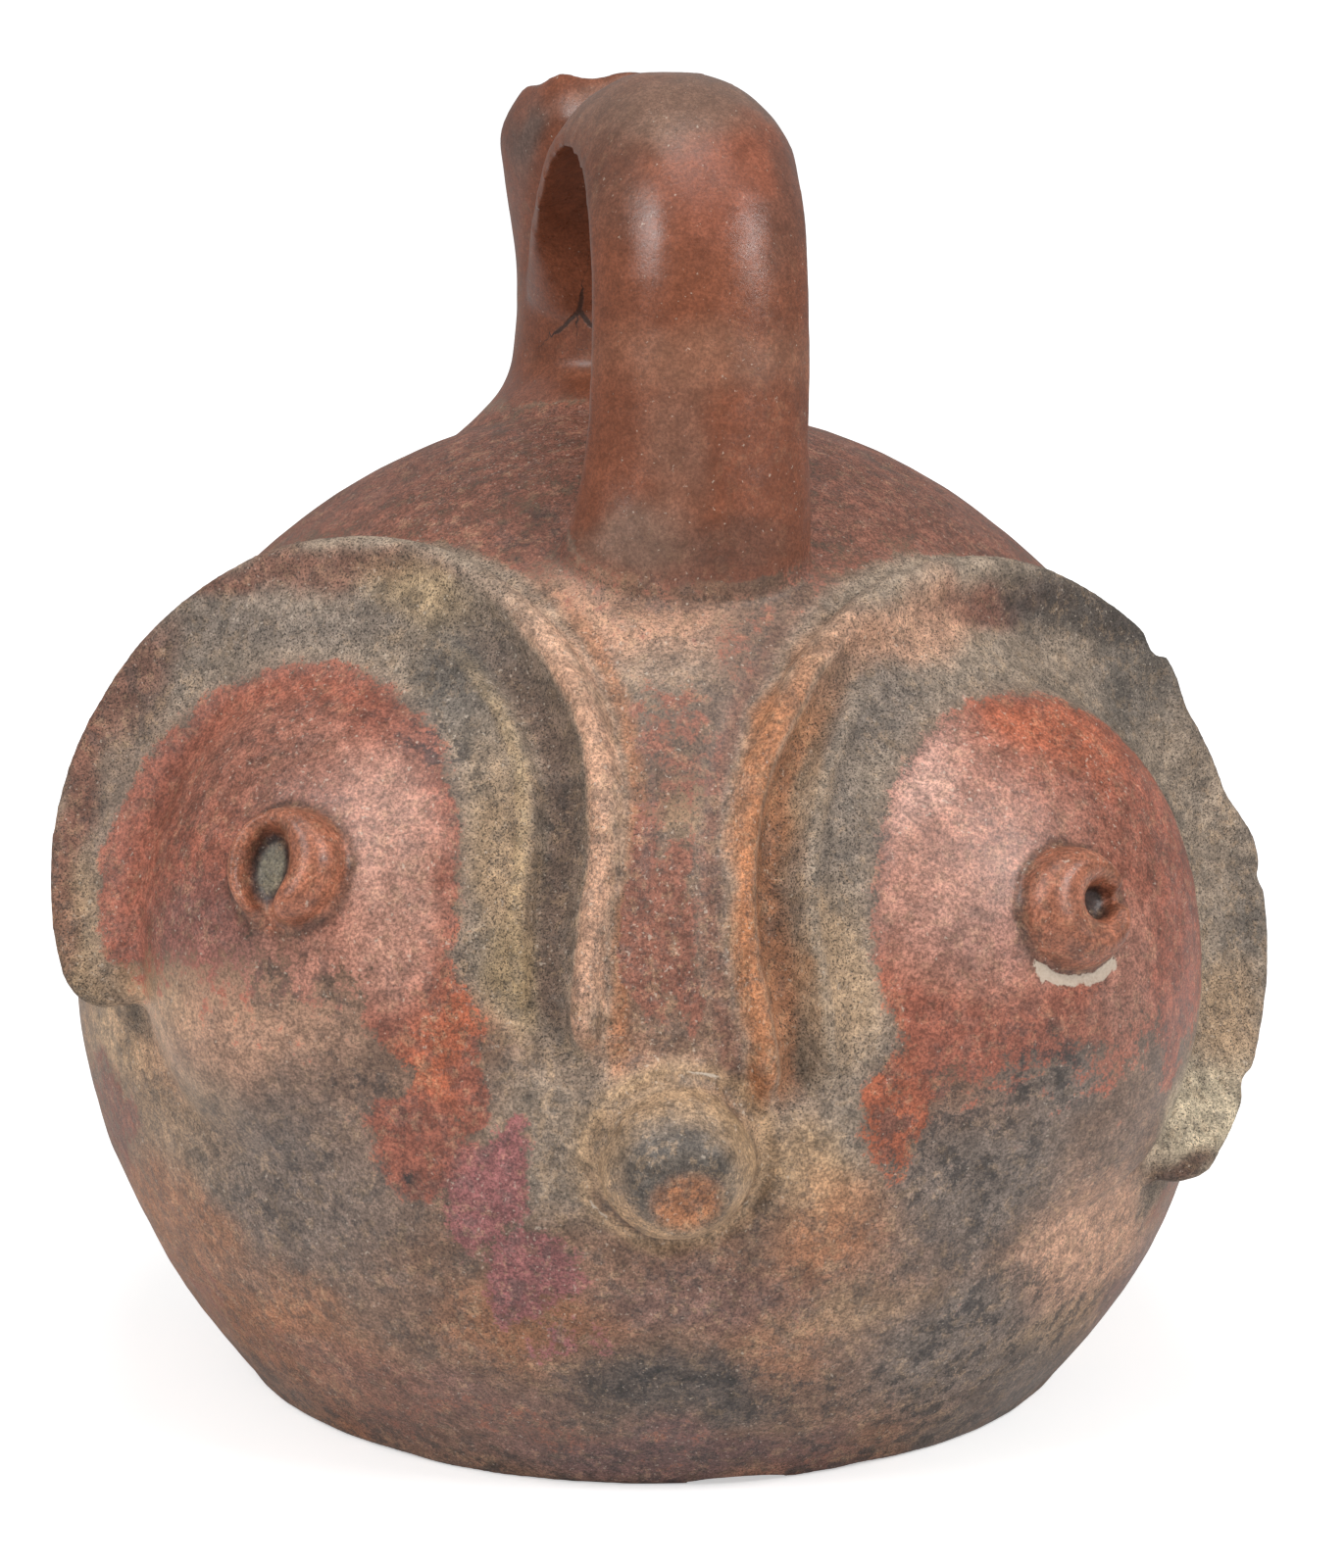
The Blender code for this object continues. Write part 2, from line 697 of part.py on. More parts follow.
def cavity_mesh():
    """The hollow of the body: its inner sphere over a flat floor, pressed out behind each eye."""
    inner = BODY_RADIUS - WALL
    floor_angle = math.asin((FLOOR_THICKNESS + 5.0 - BODY_CENTRE_Z) / inner)
    profile = []
    for index in range(CAVITY_ARC_STEPS + 1):
        angle = math.pi / 2 + (floor_angle - math.pi / 2) * index / CAVITY_ARC_STEPS
        profile.append((inner * math.cos(angle), BODY_CENTRE_Z + inner * math.sin(angle)))
    profile.append((profile[-1][0] - 7.0, FLOOR_THICKNESS + 1.0))
    profile.append((profile[-1][0] - 8.0, FLOOR_THICKNESS))
    profile.append((0.0, FLOOR_THICKNESS))
    mesh = turned("Cavity", profile, CAVITY_STEPS, Matrix.Identity(4))
    points = np.empty(len(mesh.vertices) * 3)
    mesh.vertices.foreach_get("co", points)
    points = points.reshape(-1, 3) / MM
    rays = points - body_centre()
    distance = np.linalg.norm(rays, axis=1)
    rays = rays / distance[:, None]
    reach = distance.copy()
    for eye in EYES.values():
        reach = reach + DOME_CAVITY_SHARE * dome_height(rays, eye, WALL)
    moved = body_centre() + rays * reach[:, None]
    above = points[:, 2] > FLOOR_THICKNESS + 8.0
    points = np.where(above[:, None], moved, points)
    mesh.vertices.foreach_set("co", (points * MM).ravel())
    mesh.update()
    return mesh


def strap_length():
    return float(np.linalg.norm(np.diff(np.array(STRAP_PATH), axis=0), axis=1).sum())


def strap_line(share):
    """Middle of the strap at a share from 0 at the brow to 1 at the spout."""
    points = np.array(STRAP_PATH)
    lengths = np.linalg.norm(np.diff(points, axis=0), axis=1)
    along = np.concatenate([[0.0], np.cumsum(lengths)])
    near = np.clip(share, 0.0, 1.0) * along[-1]
    spread = 5.0
    samples = np.linspace(near - spread, near + spread, 9)
    samples = np.clip(samples, min(near, 0.0), max(near, along[-1]))
    return np.array([np.interp(samples, along, points[:, axis]).mean() for axis in range(3)]), near


def strap_section(share):
    middle, along = strap_line(share)
    ahead = strap_line(share + 0.01)[0] - strap_line(share - 0.01)[0]
    ahead = ahead / np.linalg.norm(ahead)
    side = np.cross([0.0, -1.0, 0.0], [0.0, 0.0, 1.0])
    side = -side - (-side @ ahead) * ahead
    side = side / np.linalg.norm(side)
    outward = np.cross(side, ahead)
    flare = (STRAP_FOOT_WIDTH - STRAP_WIDTH) * math.exp(-max(along, 0.0) / STRAP_FOOT_FLARE)
    wrap = smooth_step(1.0 - (strap_length() - along) / STRAP_WRAP_SPAN)
    bend = STRAP_WRAP * wrap - STRAP_CROWN * (1.0 - wrap)
    left = 0.5 * STRAP_WIDTH + STRAP_FOOT_LEFT_SHARE * flare
    right = 0.5 * STRAP_WIDTH + (1.0 - STRAP_FOOT_LEFT_SHARE) * flare
    ring = []
    for row in (1.0, -1.0):
        for index in range(STRAP_SECTION_POINTS):
            across = 1.0 - 2.0 * index / (STRAP_SECTION_POINTS - 1)
            across = across * row
            thickness = STRAP_EDGE + (STRAP_MIDDLE - STRAP_EDGE) * math.sqrt(max(1.0 - across**2, 0.0))
            lift = bend * (abs(across) ** STRAP_CROWN_POWER - 0.4) + row * 0.5 * thickness
            half = right if across > 0.0 else left
            ring.append(middle + half * across * side + lift * outward)
    return ring


def strap_mesh():
    sections = [strap_section(index / STRAP_STATIONS) for index in range(STRAP_STATIONS + 1)]
    return lofted("Strap", sections)


def chip_mesh():
    work = bmesh.new()
    bmesh.ops.create_icosphere(work, subdivisions=2, radius=MM)
    mesh = bpy.data.meshes.new("Base_chip")
    work.to_mesh(mesh)
    work.free()
    outward = direction(CHIP_AZIMUTH, 0.0)
    across, up = frame_axes(outward)
    place = (BASE_RADIUS + 1.0) * outward
    size = Matrix.Diagonal((0.5 * CHIP_WIDTH, CHIP_HEIGHT, CHIP_DEPTH, 1.0))
    mesh.transform(placed(place, outward) @ size)
    return mesh


def ground_mesh():
    """Box under the jar whose top is the plane of its underside."""
    work = bmesh.new()
    bmesh.ops.create_cube(work, size=MM)
    mesh = bpy.data.meshes.new("Ground")
    work.to_mesh(mesh)
    work.free()
    depth = 4.0 * BASE_EDGE_DROP
    size = Matrix.Diagonal((3.0 * BODY_RADIUS, 3.0 * BODY_RADIUS, depth, 1.0))
    mesh.transform(Matrix.Translation(Vector((0.0, 0.0, -0.5 * depth * MM))) @ size)
    return mesh


def joined(name, meshes):
    work = bmesh.new()
    for mesh in meshes:
        work.from_mesh(mesh)
    result = bpy.data.meshes.new(name)
    work.to_mesh(result)
    work.free()
    return result


def clay_material():
    material = bpy.data.materials.new("Fired clay")
    material.use_nodes = True
    shader = material.node_tree.nodes["Principled BSDF"]
    shader.inputs["Base Color"].default_value = CLAY_COLOUR
    shader.inputs["Roughness"].default_value = CLAY_ROUGHNESS
    material.diffuse_color = CLAY_COLOUR
    return material


def add_cutter(jar, collection, mesh):
    cutter = bpy.data.objects.new(mesh.name, mesh)
    collection.objects.link(cutter)
    cutter.hide_render = True
    cutter.display_type = "WIRE"
    cut = jar.modifiers.new("Cut " + mesh.name, "BOOLEAN")
    cut.operation = "DIFFERENCE"
    cut.solver = "EXACT"
    cut.object = cutter


def build():
    clear_scene()
    solids = new_collection("Owl effigy jar")
    cutters = new_collection("Cutters")
    pieces = [body_mesh(), spout_mesh(), strap_mesh(), beak_mesh()]
    for eye_name in EYES:
        pieces.append(flange_mesh(eye_name))
        pieces.append(pupil_mesh(eye_name))
    jar = bpy.data.objects.new("owl_effigy_jar", joined("owl_effigy_jar", pieces))
    solids.objects.link(jar)
    jar.data.materials.append(clay_material())

    clay = jar.modifiers.new("Clay", "REMESH")
    clay.mode = "VOXEL"
    clay.voxel_size = CLAY_VOXEL * MM
    soften = jar.modifiers.new("Soften joints", "SMOOTH")
    soften.factor = 0.5
    soften.iterations = round(CLAY_SMOOTHING)
    facets = jar.modifiers.new("Facets", "DECIMATE")
    facets.ratio = FACET_RATIO

    for mesh in (cavity_mesh(), bore_mesh(), chip_mesh(), ground_mesh()):
        add_cutter(jar, cutters, mesh)
    for eye_name in EYES:
        add_cutter(jar, cutters, pupil_hole_mesh(eye_name))


build()
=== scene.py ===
"""Owl effigy jar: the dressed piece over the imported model, its clay finish, the studio and the camera."""

import math

import bmesh
import bpy
import numpy as np
from mathutils import Matrix, Vector


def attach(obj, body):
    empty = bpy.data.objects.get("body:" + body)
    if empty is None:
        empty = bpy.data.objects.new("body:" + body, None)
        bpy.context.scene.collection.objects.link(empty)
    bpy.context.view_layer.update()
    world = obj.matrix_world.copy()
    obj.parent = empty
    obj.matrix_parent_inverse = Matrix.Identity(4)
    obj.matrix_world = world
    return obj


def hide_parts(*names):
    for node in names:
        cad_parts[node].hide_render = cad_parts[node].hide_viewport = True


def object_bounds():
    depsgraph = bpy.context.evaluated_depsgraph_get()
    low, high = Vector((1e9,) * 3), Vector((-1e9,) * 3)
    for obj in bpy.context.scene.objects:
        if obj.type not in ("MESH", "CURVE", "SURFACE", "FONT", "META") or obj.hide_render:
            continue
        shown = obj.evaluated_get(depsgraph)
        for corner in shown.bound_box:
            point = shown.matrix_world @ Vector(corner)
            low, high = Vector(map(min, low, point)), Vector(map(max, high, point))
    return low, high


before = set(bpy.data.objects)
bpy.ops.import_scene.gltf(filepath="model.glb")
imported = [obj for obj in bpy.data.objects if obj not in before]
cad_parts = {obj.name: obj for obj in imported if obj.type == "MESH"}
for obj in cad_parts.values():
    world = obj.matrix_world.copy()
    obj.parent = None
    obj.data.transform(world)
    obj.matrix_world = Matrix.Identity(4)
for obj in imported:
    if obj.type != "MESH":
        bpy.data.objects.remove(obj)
cad_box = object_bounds()

SIDES = ("left", "right")


def by_side(sizes):
    """One dictionary of sizes for each side, from sizes given as pairs of left and right."""
    return {side: {name: pair[index] for name, pair in sizes.items()} for index, side in enumerate(SIDES)}


MM = 0.001

# Body: a sphere cut flat under its middle
BODY_RADIUS = 84.0
BODY_CENTRE_Z = 58.0
WALL = 5.5
FLOOR_THICKNESS = 7.0
BASE_RADIUS = 60.0
BASE_EDGE_DROP = 1.6
LOWER_SHIFT = 1.4
LOWER_SHIFT_SPAN = 42.0
BODY_STEPS = 420
BODY_ARC_STEPS = 240

# Chip out of the front edge of the underside
CHIP_WIDTH = 15.0
CHIP_HEIGHT = 1.4
CHIP_DEPTH = 7.0
CHIP_AZIMUTH = 9.0

# Eye discs, left and right: each has its own plane, because the maker set them by hand
EYES = by_side(
    dict(
        azimuth=(-30.3, 38.9),
        elevation=(22.4, 16.6),
        plane_offset=(80.2, 75.2),
        across=(-11.7, 5.2),
        up=(2.6, -0.3),
        rim_radius=(43.4, 50.0),
        nose_angle=(-30.0, 203.0),
        nose_spread=(0.0095, 0.008),
        nose_sink=(0.0, 2.2),
        nose_end_angle=(9.0, 12.0),
        outer_angle=(224.0, -66.0),
        outer_end_angle=(14.0, 11.0),
        ring_level=(-0.6, -1.6),
        dome_across=(-4.5, -0.5),
        dome_up=(-9.5, -6.0),
        dome_half_width=(32.5, 30.5),
        dome_half_height=(38.0, 37.0),
        dome_rise=(8.6, 7.4),
        dome_outer_edge=(1.0, 0.5),
        dome_nose_edge=(1.6, 1.4),
        pupil_across=(3.5, -6.5),
        pupil_up=(-4.3, 0.4),
        channel_start=(2.2, 1.0),
        channel_slope=(3.4, 5.0),
        channel_depth=(3.6, 2.8),
        lip_inset=(11.6, 9.2),
        lip_half_width=(1.7, 1.7),
        lip_height=(0.7, 1.5),
    )
)
DOME_CAVITY_SHARE = 0.8

# Slants to a disc's normal: rays below the first don't meet the disc, and the second bounds its reach
FACING_SLANT = 0.3
LEAST_SLANT = 0.2

# Disc flange, measured in its own section: along the radius and along the disc's normal
FLANGE_EDGE = 4.2
FLANGE_INNER = 20.0
FLANGE_NARROWEST = 14.0
FLANGE_BACK = 11.0
FLANGE_ROOT_INSET = 10.0
FLANGE_DISH = 1.1
FLANGE_ROOT = 13.0
FLANGE_STEPS = 220

# Ring between each dome and its edge
RING_INSET = 3.0
RING_FADE = 2.0
RING_END_FADE = 14.0
RING_BLEND = 2.2
RING_END_BLEND = 6.0
RING_HIDDEN = 20.0
RING_NOSE_FADE = 26.0

# Channel and inner lip along the nose side of each disc: spans and fades in degrees around it
NOSE_SPAN = 74.0
NOSE_FADE = 38.0
NOSE_END_FADE = 6.0
NOSE_SINK_ANGLE = 50.0
NOSE_SINK_FADE = 30.0
LIP_STEEPNESS = 2.6

# Stretches where a disc's edge is broken back: centre angle, half width, depth
RIM_BREAKS = {
    "left": ((231.0, 14.0, 5.0),),
    "right": ((21.0, 19.0, 3.2), (42.0, 3.0, 1.4), (-3.0, 2.0, 0.8), (-39.0, 3.0, 1.2)),
}

# Beak: a blunt cone below the bridge of the nose
BEAK_AZIMUTH = -0.6
BEAK_ELEVATION = -2.2
BEAK_LEAN_ACROSS = 1.5
BEAK_LEAN_UP = -1.0
BEAK_BASE_RADIUS = 11.4
BEAK_TIP_RADIUS = 6.4
BEAK_SWELL = 0.7
BEAK_HEIGHT = 11.5
BEAK_SKIRT = 3.0

# Pupils: rolls of clay bent round a hollow, which is off the middle and open on one side
PUPIL_RADIUS = 8.2
PUPIL_HEIGHT = 4.6
PUPIL_ROOT = 6.0
PUPIL_END_ANGLE = 24.0
PUPIL_STEPS = 48
PUPIL_SECTION_POINTS = 20

# Hollows of the two pupils, left and right
PUPIL_HOLES = by_side(
    dict(
        across=(-2.3, 3.1),
        up=(-0.3, 0.1),
        half_width=(2.9, 2.2),
        half_height=(5.0, 2.4),
        gap_angle=(-86.0, 2.0),
        gap_half_angle=(12.0, 9.0),
    )
)

# Spout at the back of the shoulder: height and outer radius down its side
SPOUT_X = -1.5
SPOUT_Y = 22.0
SPOUT_RIM_Z = 188.8
SPOUT_OUTSIDE = (
    (185.6, 17.8),
    (181.6, 19.3),
    (174.0, 18.6),
    (163.0, 17.0),
    (156.0, 16.5),
    (149.0, 16.9),
    (145.0, 17.3),
    (141.4, 19.2),
    (137.7, 22.4),
    (134.2, 26.4),
    (129.5, 30.5),
)
SPOUT_LIP_RADIUS = 15.6
SPOUT_BORE_RIM = 14.4
SPOUT_BORE_RIM_DEPTH = 9.0
SPOUT_BORE_NECK = 11.0
SPOUT_BORE_FOOT = 14.5
SPOUT_NECK_Z = 156.0
SPOUT_FLARE_Z = 151.0
SPOUT_FLARE_SPAN = 13.0
SPOUT_FOOT_Z = 135.0
SPOUT_BORE_DEPTH = 12.0
SPOUT_STEPS = 128
SPOUT_ROUNDING_STEPS = 2
RIM_WAVE = 0.5
RIM_WAVES = 9
RIM_WAVE_TURN = 198.0
RIM_DROP = 8.0
RIM_DROP_START = 8.0
RIM_DROP_SPAN = 26.0
RIM_SIDE_DROP = 2.2

# Strap handle: sideways, depth and height of its middle line, from the brow up and over to the spout
STRAP_PATH = (
    (3.6, -47.0, 119.0),
    (4.1, -48.2, 128.0),
    (5.0, -46.6, 138.0),
    (5.4, -44.8, 152.0),
    (5.4, -42.2, 166.0),
    (5.0, -37.0, 176.0),
    (4.2, -28.0, 183.2),
    (2.6, -17.0, 185.6),
    (0.2, -7.5, 181.4),
    (-1.6, 0.5, 172.0),
    (-2.4, 8.0, 161.5),
    (-2.4, 15.0, 151.0),
)
STRAP_WIDTH = 28.8
STRAP_FOOT_WIDTH = 39.0
STRAP_FOOT_FLARE = 13.0
STRAP_FOOT_LEFT_SHARE = 0.7
STRAP_MIDDLE = 6.4
STRAP_EDGE = 2.6
STRAP_CROWN = 6.4
STRAP_CROWN_POWER = 2.8
STRAP_WRAP = 7.0
STRAP_WRAP_SPAN = 34.0
STRAP_STATIONS = 120
STRAP_SECTION_POINTS = 21

# Steps of the cavity and of its arc
CAVITY_STEPS = 64
CAVITY_ARC_STEPS = 30


def smooth_step(value):
    clipped = np.clip(value, 0.0, 1.0)
    return clipped * clipped * (3.0 - 2.0 * clipped)


def direction(azimuth, elevation):
    a = math.radians(azimuth)
    e = math.radians(elevation)
    return np.array([math.sin(a) * math.cos(e), -math.cos(a) * math.cos(e), math.sin(e)])


def body_centre():
    return np.array([0.0, 0.0, BODY_CENTRE_Z])


def frame_axes(normal):
    """Across and up in the plane that faces along the normal."""
    across = np.cross([0.0, 0.0, 1.0], normal)
    across = across / np.linalg.norm(across)
    return across, np.cross(normal, across)


def eye_frame(eye):
    """Centre of the disc's circle, with its across, up and outward directions."""
    normal = direction(eye["azimuth"], eye["elevation"])
    across, up = frame_axes(normal)
    centre = body_centre() + eye["plane_offset"] * normal + eye["across"] * across + eye["up"] * up
    return centre, across, up, normal


def smooth_max(a, b, width):
    blend = np.clip(0.5 + 0.5 * (a - b) / width, 0.0, 1.0)
    return b + (a - b) * blend + width * blend * (1.0 - blend)


def on_disc(rays, eye):
    """Where each ray meets the disc's plane: across, up, its reach there and its slant to the normal."""
    centre, across, up, normal = eye_frame(eye)
    offset = centre - body_centre()
    slant = rays @ normal
    reach = (offset @ normal) / np.maximum(slant, LEAST_SLANT)
    flat = rays * reach[:, None] - offset
    return flat @ across, flat @ up, reach, slant


def dome_height(rays, eye, inset):
    """How far the dome swells over the body along each ray: steep on its outer side, soft elsewhere."""
    x, y, _, slant = on_disc(rays, eye)
    x = (x - eye["dome_across"]) / (eye["dome_half_width"] - inset)
    y = (y - eye["dome_up"]) / (eye["dome_half_height"] - inset)
    radius = np.hypot(x, y)
    outward = math.copysign(1.0, eye["azimuth"]) * x / np.maximum(radius, 0.01)
    outer = smooth_step(0.5 + 0.8 * outward)
    edge = eye["dome_nose_edge"] + (eye["dome_outer_edge"] - eye["dome_nose_edge"]) * outer
    swell = eye["dome_rise"] * np.maximum(1.0 - radius**2, 0.0) ** edge
    return swell * (slant > FACING_SLANT)


def rim_radius(eye_name, angle):
    """Radius of the disc's edge at an angle in degrees, with the broken stretches taken back."""
    eye = EYES[eye_name]
    radius = np.full(np.shape(angle), eye["rim_radius"], float)
    radius = radius + eye["nose_spread"] * np.maximum(nose_side(eye, angle), 0.0) ** 2
    for centre, half_width, depth in RIM_BREAKS[eye_name]:
        away = np.abs(angle - centre) / half_width
        radius = radius - depth * smooth_step(1.6 - 1.6 * away)
    return radius


def nose_side(eye, angle):
    """Degrees of the angle below the level of the circle's middle on its nose side."""
    if eye["nose_angle"] < 90.0:
        return -angle
    return angle - 180.0


def nose_weight(eye, angle):
    """1 along the channel on the nose side of the disc, fading to 0 at both of its ends."""
    below = nose_side(eye, angle)
    lower_end = nose_side(eye, eye["nose_angle"])
    lower = smooth_step((lower_end - below) / NOSE_END_FADE)
    return lower * smooth_step((below + NOSE_SPAN) / NOSE_FADE)


def nose_sink(eye, angle):
    """How far the disc's edge sinks into the bridge of the nose at an angle."""
    return eye["nose_sink"] * smooth_step((nose_side(eye, angle) + NOSE_SINK_ANGLE) / NOSE_SINK_FADE)


def disc_angle(x, y):
    """Angle in degrees about the disc's middle, from -90 up to 270."""
    angle = np.degrees(np.arctan2(y, x))
    return np.where(angle < -90.0, angle + 360.0, angle)


def disc_place(rays, eye):
    """Where each ray meets the disc: its angle, its distance from the circle's middle and its reach."""
    x, y, reach, slant = on_disc(rays, eye)
    level = eye["ring_level"] / np.maximum(slant, LEAST_SLANT)
    return disc_angle(x, y), np.hypot(x, y), reach + level, slant > FACING_SLANT


def ring_reach(rays, eye_name):
    """Reach of the disc's flat ring, sunk out of the way beyond its edge and ends, and its blend width."""
    eye = EYES[eye_name]
    angle, radius, reach, facing = disc_place(rays, eye)
    inside = smooth_step((rim_radius(eye_name, angle) - RING_INSET - radius) / RING_FADE)
    to_outer_end = (angle - eye["outer_angle"]) * np.sign(eye["nose_angle"] - eye["outer_angle"])
    outer = smooth_step(to_outer_end / RING_END_FADE)
    nose = smooth_step(-nose_side(eye, angle) / RING_NOSE_FADE)
    shown = inside * outer * nose * facing
    level = reach - nose_sink(eye, angle) - RING_HIDDEN * (1.0 - shown)
    return np.where(shown > 0.0, level, 0.0), RING_BLEND + RING_END_BLEND * (1.0 - outer)


def channel_change(rays, eye_name):
    """Radial change of the body where the channel and the inner lip run."""
    eye = EYES[eye_name]
    angle, radius, _, facing = disc_place(rays, eye)
    inset = rim_radius(eye_name, angle) - radius
    falling = smooth_step((inset - eye["channel_start"]) / eye["channel_slope"])
    rising = smooth_step((eye["lip_inset"] - inset) / LIP_STEEPNESS)
    lip = np.exp(-(((inset - eye["lip_inset"]) / eye["lip_half_width"]) ** 2))
    change = eye["lip_height"] * lip - eye["channel_depth"] * falling * rising
    return change * nose_weight(eye, angle) * facing


def body_reach(rays):
    """Distance of the outer surface from the body's centre along each ray, for the part above the base."""
    reach = np.full(len(rays), BODY_RADIUS)
    for eye in EYES.values():
        reach = reach + dome_height(rays, eye, 0.0)
    for eye_name in EYES:
        reach = smooth_max(reach, *ring_reach(rays, eye_name))
        reach = reach + channel_change(rays, eye_name)
    return reach


def mesh_points(mesh):
    """The mesh's points in millimetres."""
    points = np.empty(len(mesh.vertices) * 3, np.float32)
    mesh.vertices.foreach_get("co", points)
    return points.reshape(-1, 3).astype(float) / MM


def set_points(mesh, points):
    mesh.vertices.foreach_set("co", (points * MM).astype(np.float32).ravel())
    mesh.update()


def linked(name, data):
    """A new object in the scene."""
    made = bpy.data.objects.new(name, data)
    bpy.context.scene.collection.objects.link(made)
    return made


def mesh_from(name, points, faces):
    mesh = bpy.data.meshes.new(name)
    mesh.from_pydata([tuple(float(value) * MM for value in point) for point in points], [], faces)
    mesh.update()
    return mesh


def faced_outward(mesh):
    work = bmesh.new()
    work.from_mesh(mesh)
    bmesh.ops.recalc_face_normals(work, faces=work.faces)
    work.to_mesh(mesh)
    work.free()
    return mesh


def turned(name, profile, steps, matrix):
    """A profile of radius and height, top to bottom, turned about Z and closed on the axis."""
    outline = mesh_from("Profile", [(radius, 0.0, height) for radius, height in profile], [])
    outline.edges.add(len(profile) - 1)
    for index, edge in enumerate(outline.edges):
        edge.vertices = (index, index + 1)
    blank = linked("Blank", outline)
    screw = blank.modifiers.new("Turn", "SCREW")
    screw.steps = steps
    screw.render_steps = steps
    screw.use_merge_vertices = True
    screw.merge_threshold = 0.00001
    mesh = evaluated(blank)
    mesh.name = name
    bpy.data.objects.remove(blank, do_unlink=True)
    bpy.data.meshes.remove(outline)
    work = bmesh.new()
    work.from_mesh(mesh)
    bmesh.ops.remove_doubles(work, verts=work.verts, dist=0.00001)
    work.to_mesh(mesh)
    work.free()
    mesh.transform(matrix)
    return faced_outward(mesh)


def placed(point, normal):
    """Matrix that sets +Z along the normal at a point given in millimetres."""
    across, up = frame_axes(np.asarray(normal, float))
    rotation = Matrix((across, up, normal)).transposed().to_4x4()
    return Matrix.Translation(Vector([value * MM for value in point])) @ rotation


def lofted(name, sections):
    """A closed solid through rings of points, with flat ends."""
    sections = np.asarray(sections, float)
    count, ring = sections.shape[:2]
    points = sections.reshape(-1, 3)
    faces = []
    for station in range(count - 1):
        for index in range(ring):
            after = (index + 1) % ring
            here, there = station * ring, (station + 1) * ring
            faces.append((here + index, here + after, there + after, there + index))
    faces.append(tuple(range(ring)))
    faces.append(tuple(range((count - 1) * ring, count * ring)))
    return faced_outward(mesh_from(name, points, faces))


def body_profile():
    arc = []
    lowest = math.asin((BASE_EDGE_DROP + 1.0 - BODY_CENTRE_Z) / BODY_RADIUS)
    for index in range(BODY_ARC_STEPS + 1):
        angle = math.pi / 2 + (lowest - math.pi / 2) * index / BODY_ARC_STEPS
        arc.append((BODY_RADIUS * math.cos(angle), BODY_CENTRE_Z + BODY_RADIUS * math.sin(angle)))
    edge_radius = arc[-1][0]
    middle_radius = 0.5 * (edge_radius + BASE_RADIUS)
    arc.append((middle_radius + 0.4, 0.5 * BASE_EDGE_DROP))
    arc.append((BASE_RADIUS, -0.3 * BASE_EDGE_DROP))
    arc.append((BASE_RADIUS - 4.0, -2.0 * BASE_EDGE_DROP))
    arc.append((0.0, -2.0 * BASE_EDGE_DROP))
    return arc


def moved_out(mesh, lowest, reach_of):
    """The mesh with its points above a height moved along their rays from the body's centre."""
    points = mesh_points(mesh)
    rays = points - body_centre()
    distance = np.linalg.norm(rays, axis=1)
    rays = rays / distance[:, None]
    moved = body_centre() + rays * reach_of(rays, distance)[:, None]
    set_points(mesh, np.where((points[:, 2] > lowest)[:, None], moved, points))
    return mesh


def body_mesh():
    """The turned body, with its upper points moved out to the domes and in to the furrows."""
    mesh = turned("Body", body_profile(), BODY_STEPS, Matrix.Identity(4))
    moved_out(mesh, BASE_EDGE_DROP + 2.0, lambda rays, distance: body_reach(rays) + distance - BODY_RADIUS)
    points = mesh_points(mesh)
    points[:, 0] += LOWER_SHIFT * smooth_step((BODY_CENTRE_Z + 4.0 - points[:, 2]) / LOWER_SHIFT_SPAN)
    set_points(mesh, points)
    return mesh


def end_size(to_end, smallest):
    """Size of a roll's section near its rounded end, from the smallest up to 1."""
    return math.sqrt(max(1.0 - max(1.0 - to_end, 0.0) ** 2, smallest**2))


def flange_section(eye, centre, axes, angle, rim, size):
    """Ring of points around the flange at one angle, drawn in towards its root by size below 1."""
    across, up, normal = axes
    outward = math.cos(math.radians(angle)) * across + math.sin(math.radians(angle)) * up
    centre = centre - float(nose_sink(eye, angle)) * normal
    inner = min(FLANGE_INNER, rim - FLANGE_NARROWEST)
    middle = 0.55 * inner + 0.45 * rim
    shape = [
        (inner, -4.0),
        (middle, -2.0 * FLANGE_DISH),
        (rim - 5.0, -0.8 * FLANGE_DISH),
        (rim - 2.6, 0.15),
        (rim - 1.0, 0.0),
        (rim, -1.1),
        (rim - 0.1, -FLANGE_EDGE + 1.0),
        (rim - 1.5, -FLANGE_EDGE),
        (rim - 5.5, -FLANGE_EDGE - 2.4),
        (rim - FLANGE_BACK, -FLANGE_ROOT),
        (inner, -FLANGE_ROOT - 4.0),
    ]
    root = np.array([rim - FLANGE_ROOT_INSET, -FLANGE_ROOT + 3.0])
    ring = []
    for along, height in shape:
        drawn = root + (np.array([along, height]) - root) * size
        ring.append(centre + drawn[0] * outward + drawn[1] * normal)
    return ring


def flange_mesh(eye_name):
    eye = EYES[eye_name]
    centre, across, up, normal = eye_frame(eye)
    start, end = eye["nose_angle"], eye["outer_angle"]
    sections = []
    for station in range(FLANGE_STEPS + 1):
        angle = start + (end - start) * station / FLANGE_STEPS
        to_end = min(abs(angle - start) / eye["nose_end_angle"], abs(angle - end) / eye["outer_end_angle"])
        size = end_size(to_end, 0.3)
        rim = float(rim_radius(eye_name, np.array([angle]))[0])
        sections.append(flange_section(eye, centre, (across, up, normal), angle, rim, size))
    return lofted("Flange_" + eye_name, sections)


def beak_place():
    """Foot of the beak, with its across, up and outward directions."""
    outward = direction(BEAK_AZIMUTH, BEAK_ELEVATION)
    across, up = frame_axes(outward)
    return body_centre() + (BODY_RADIUS - 0.5) * outward, across, up, outward


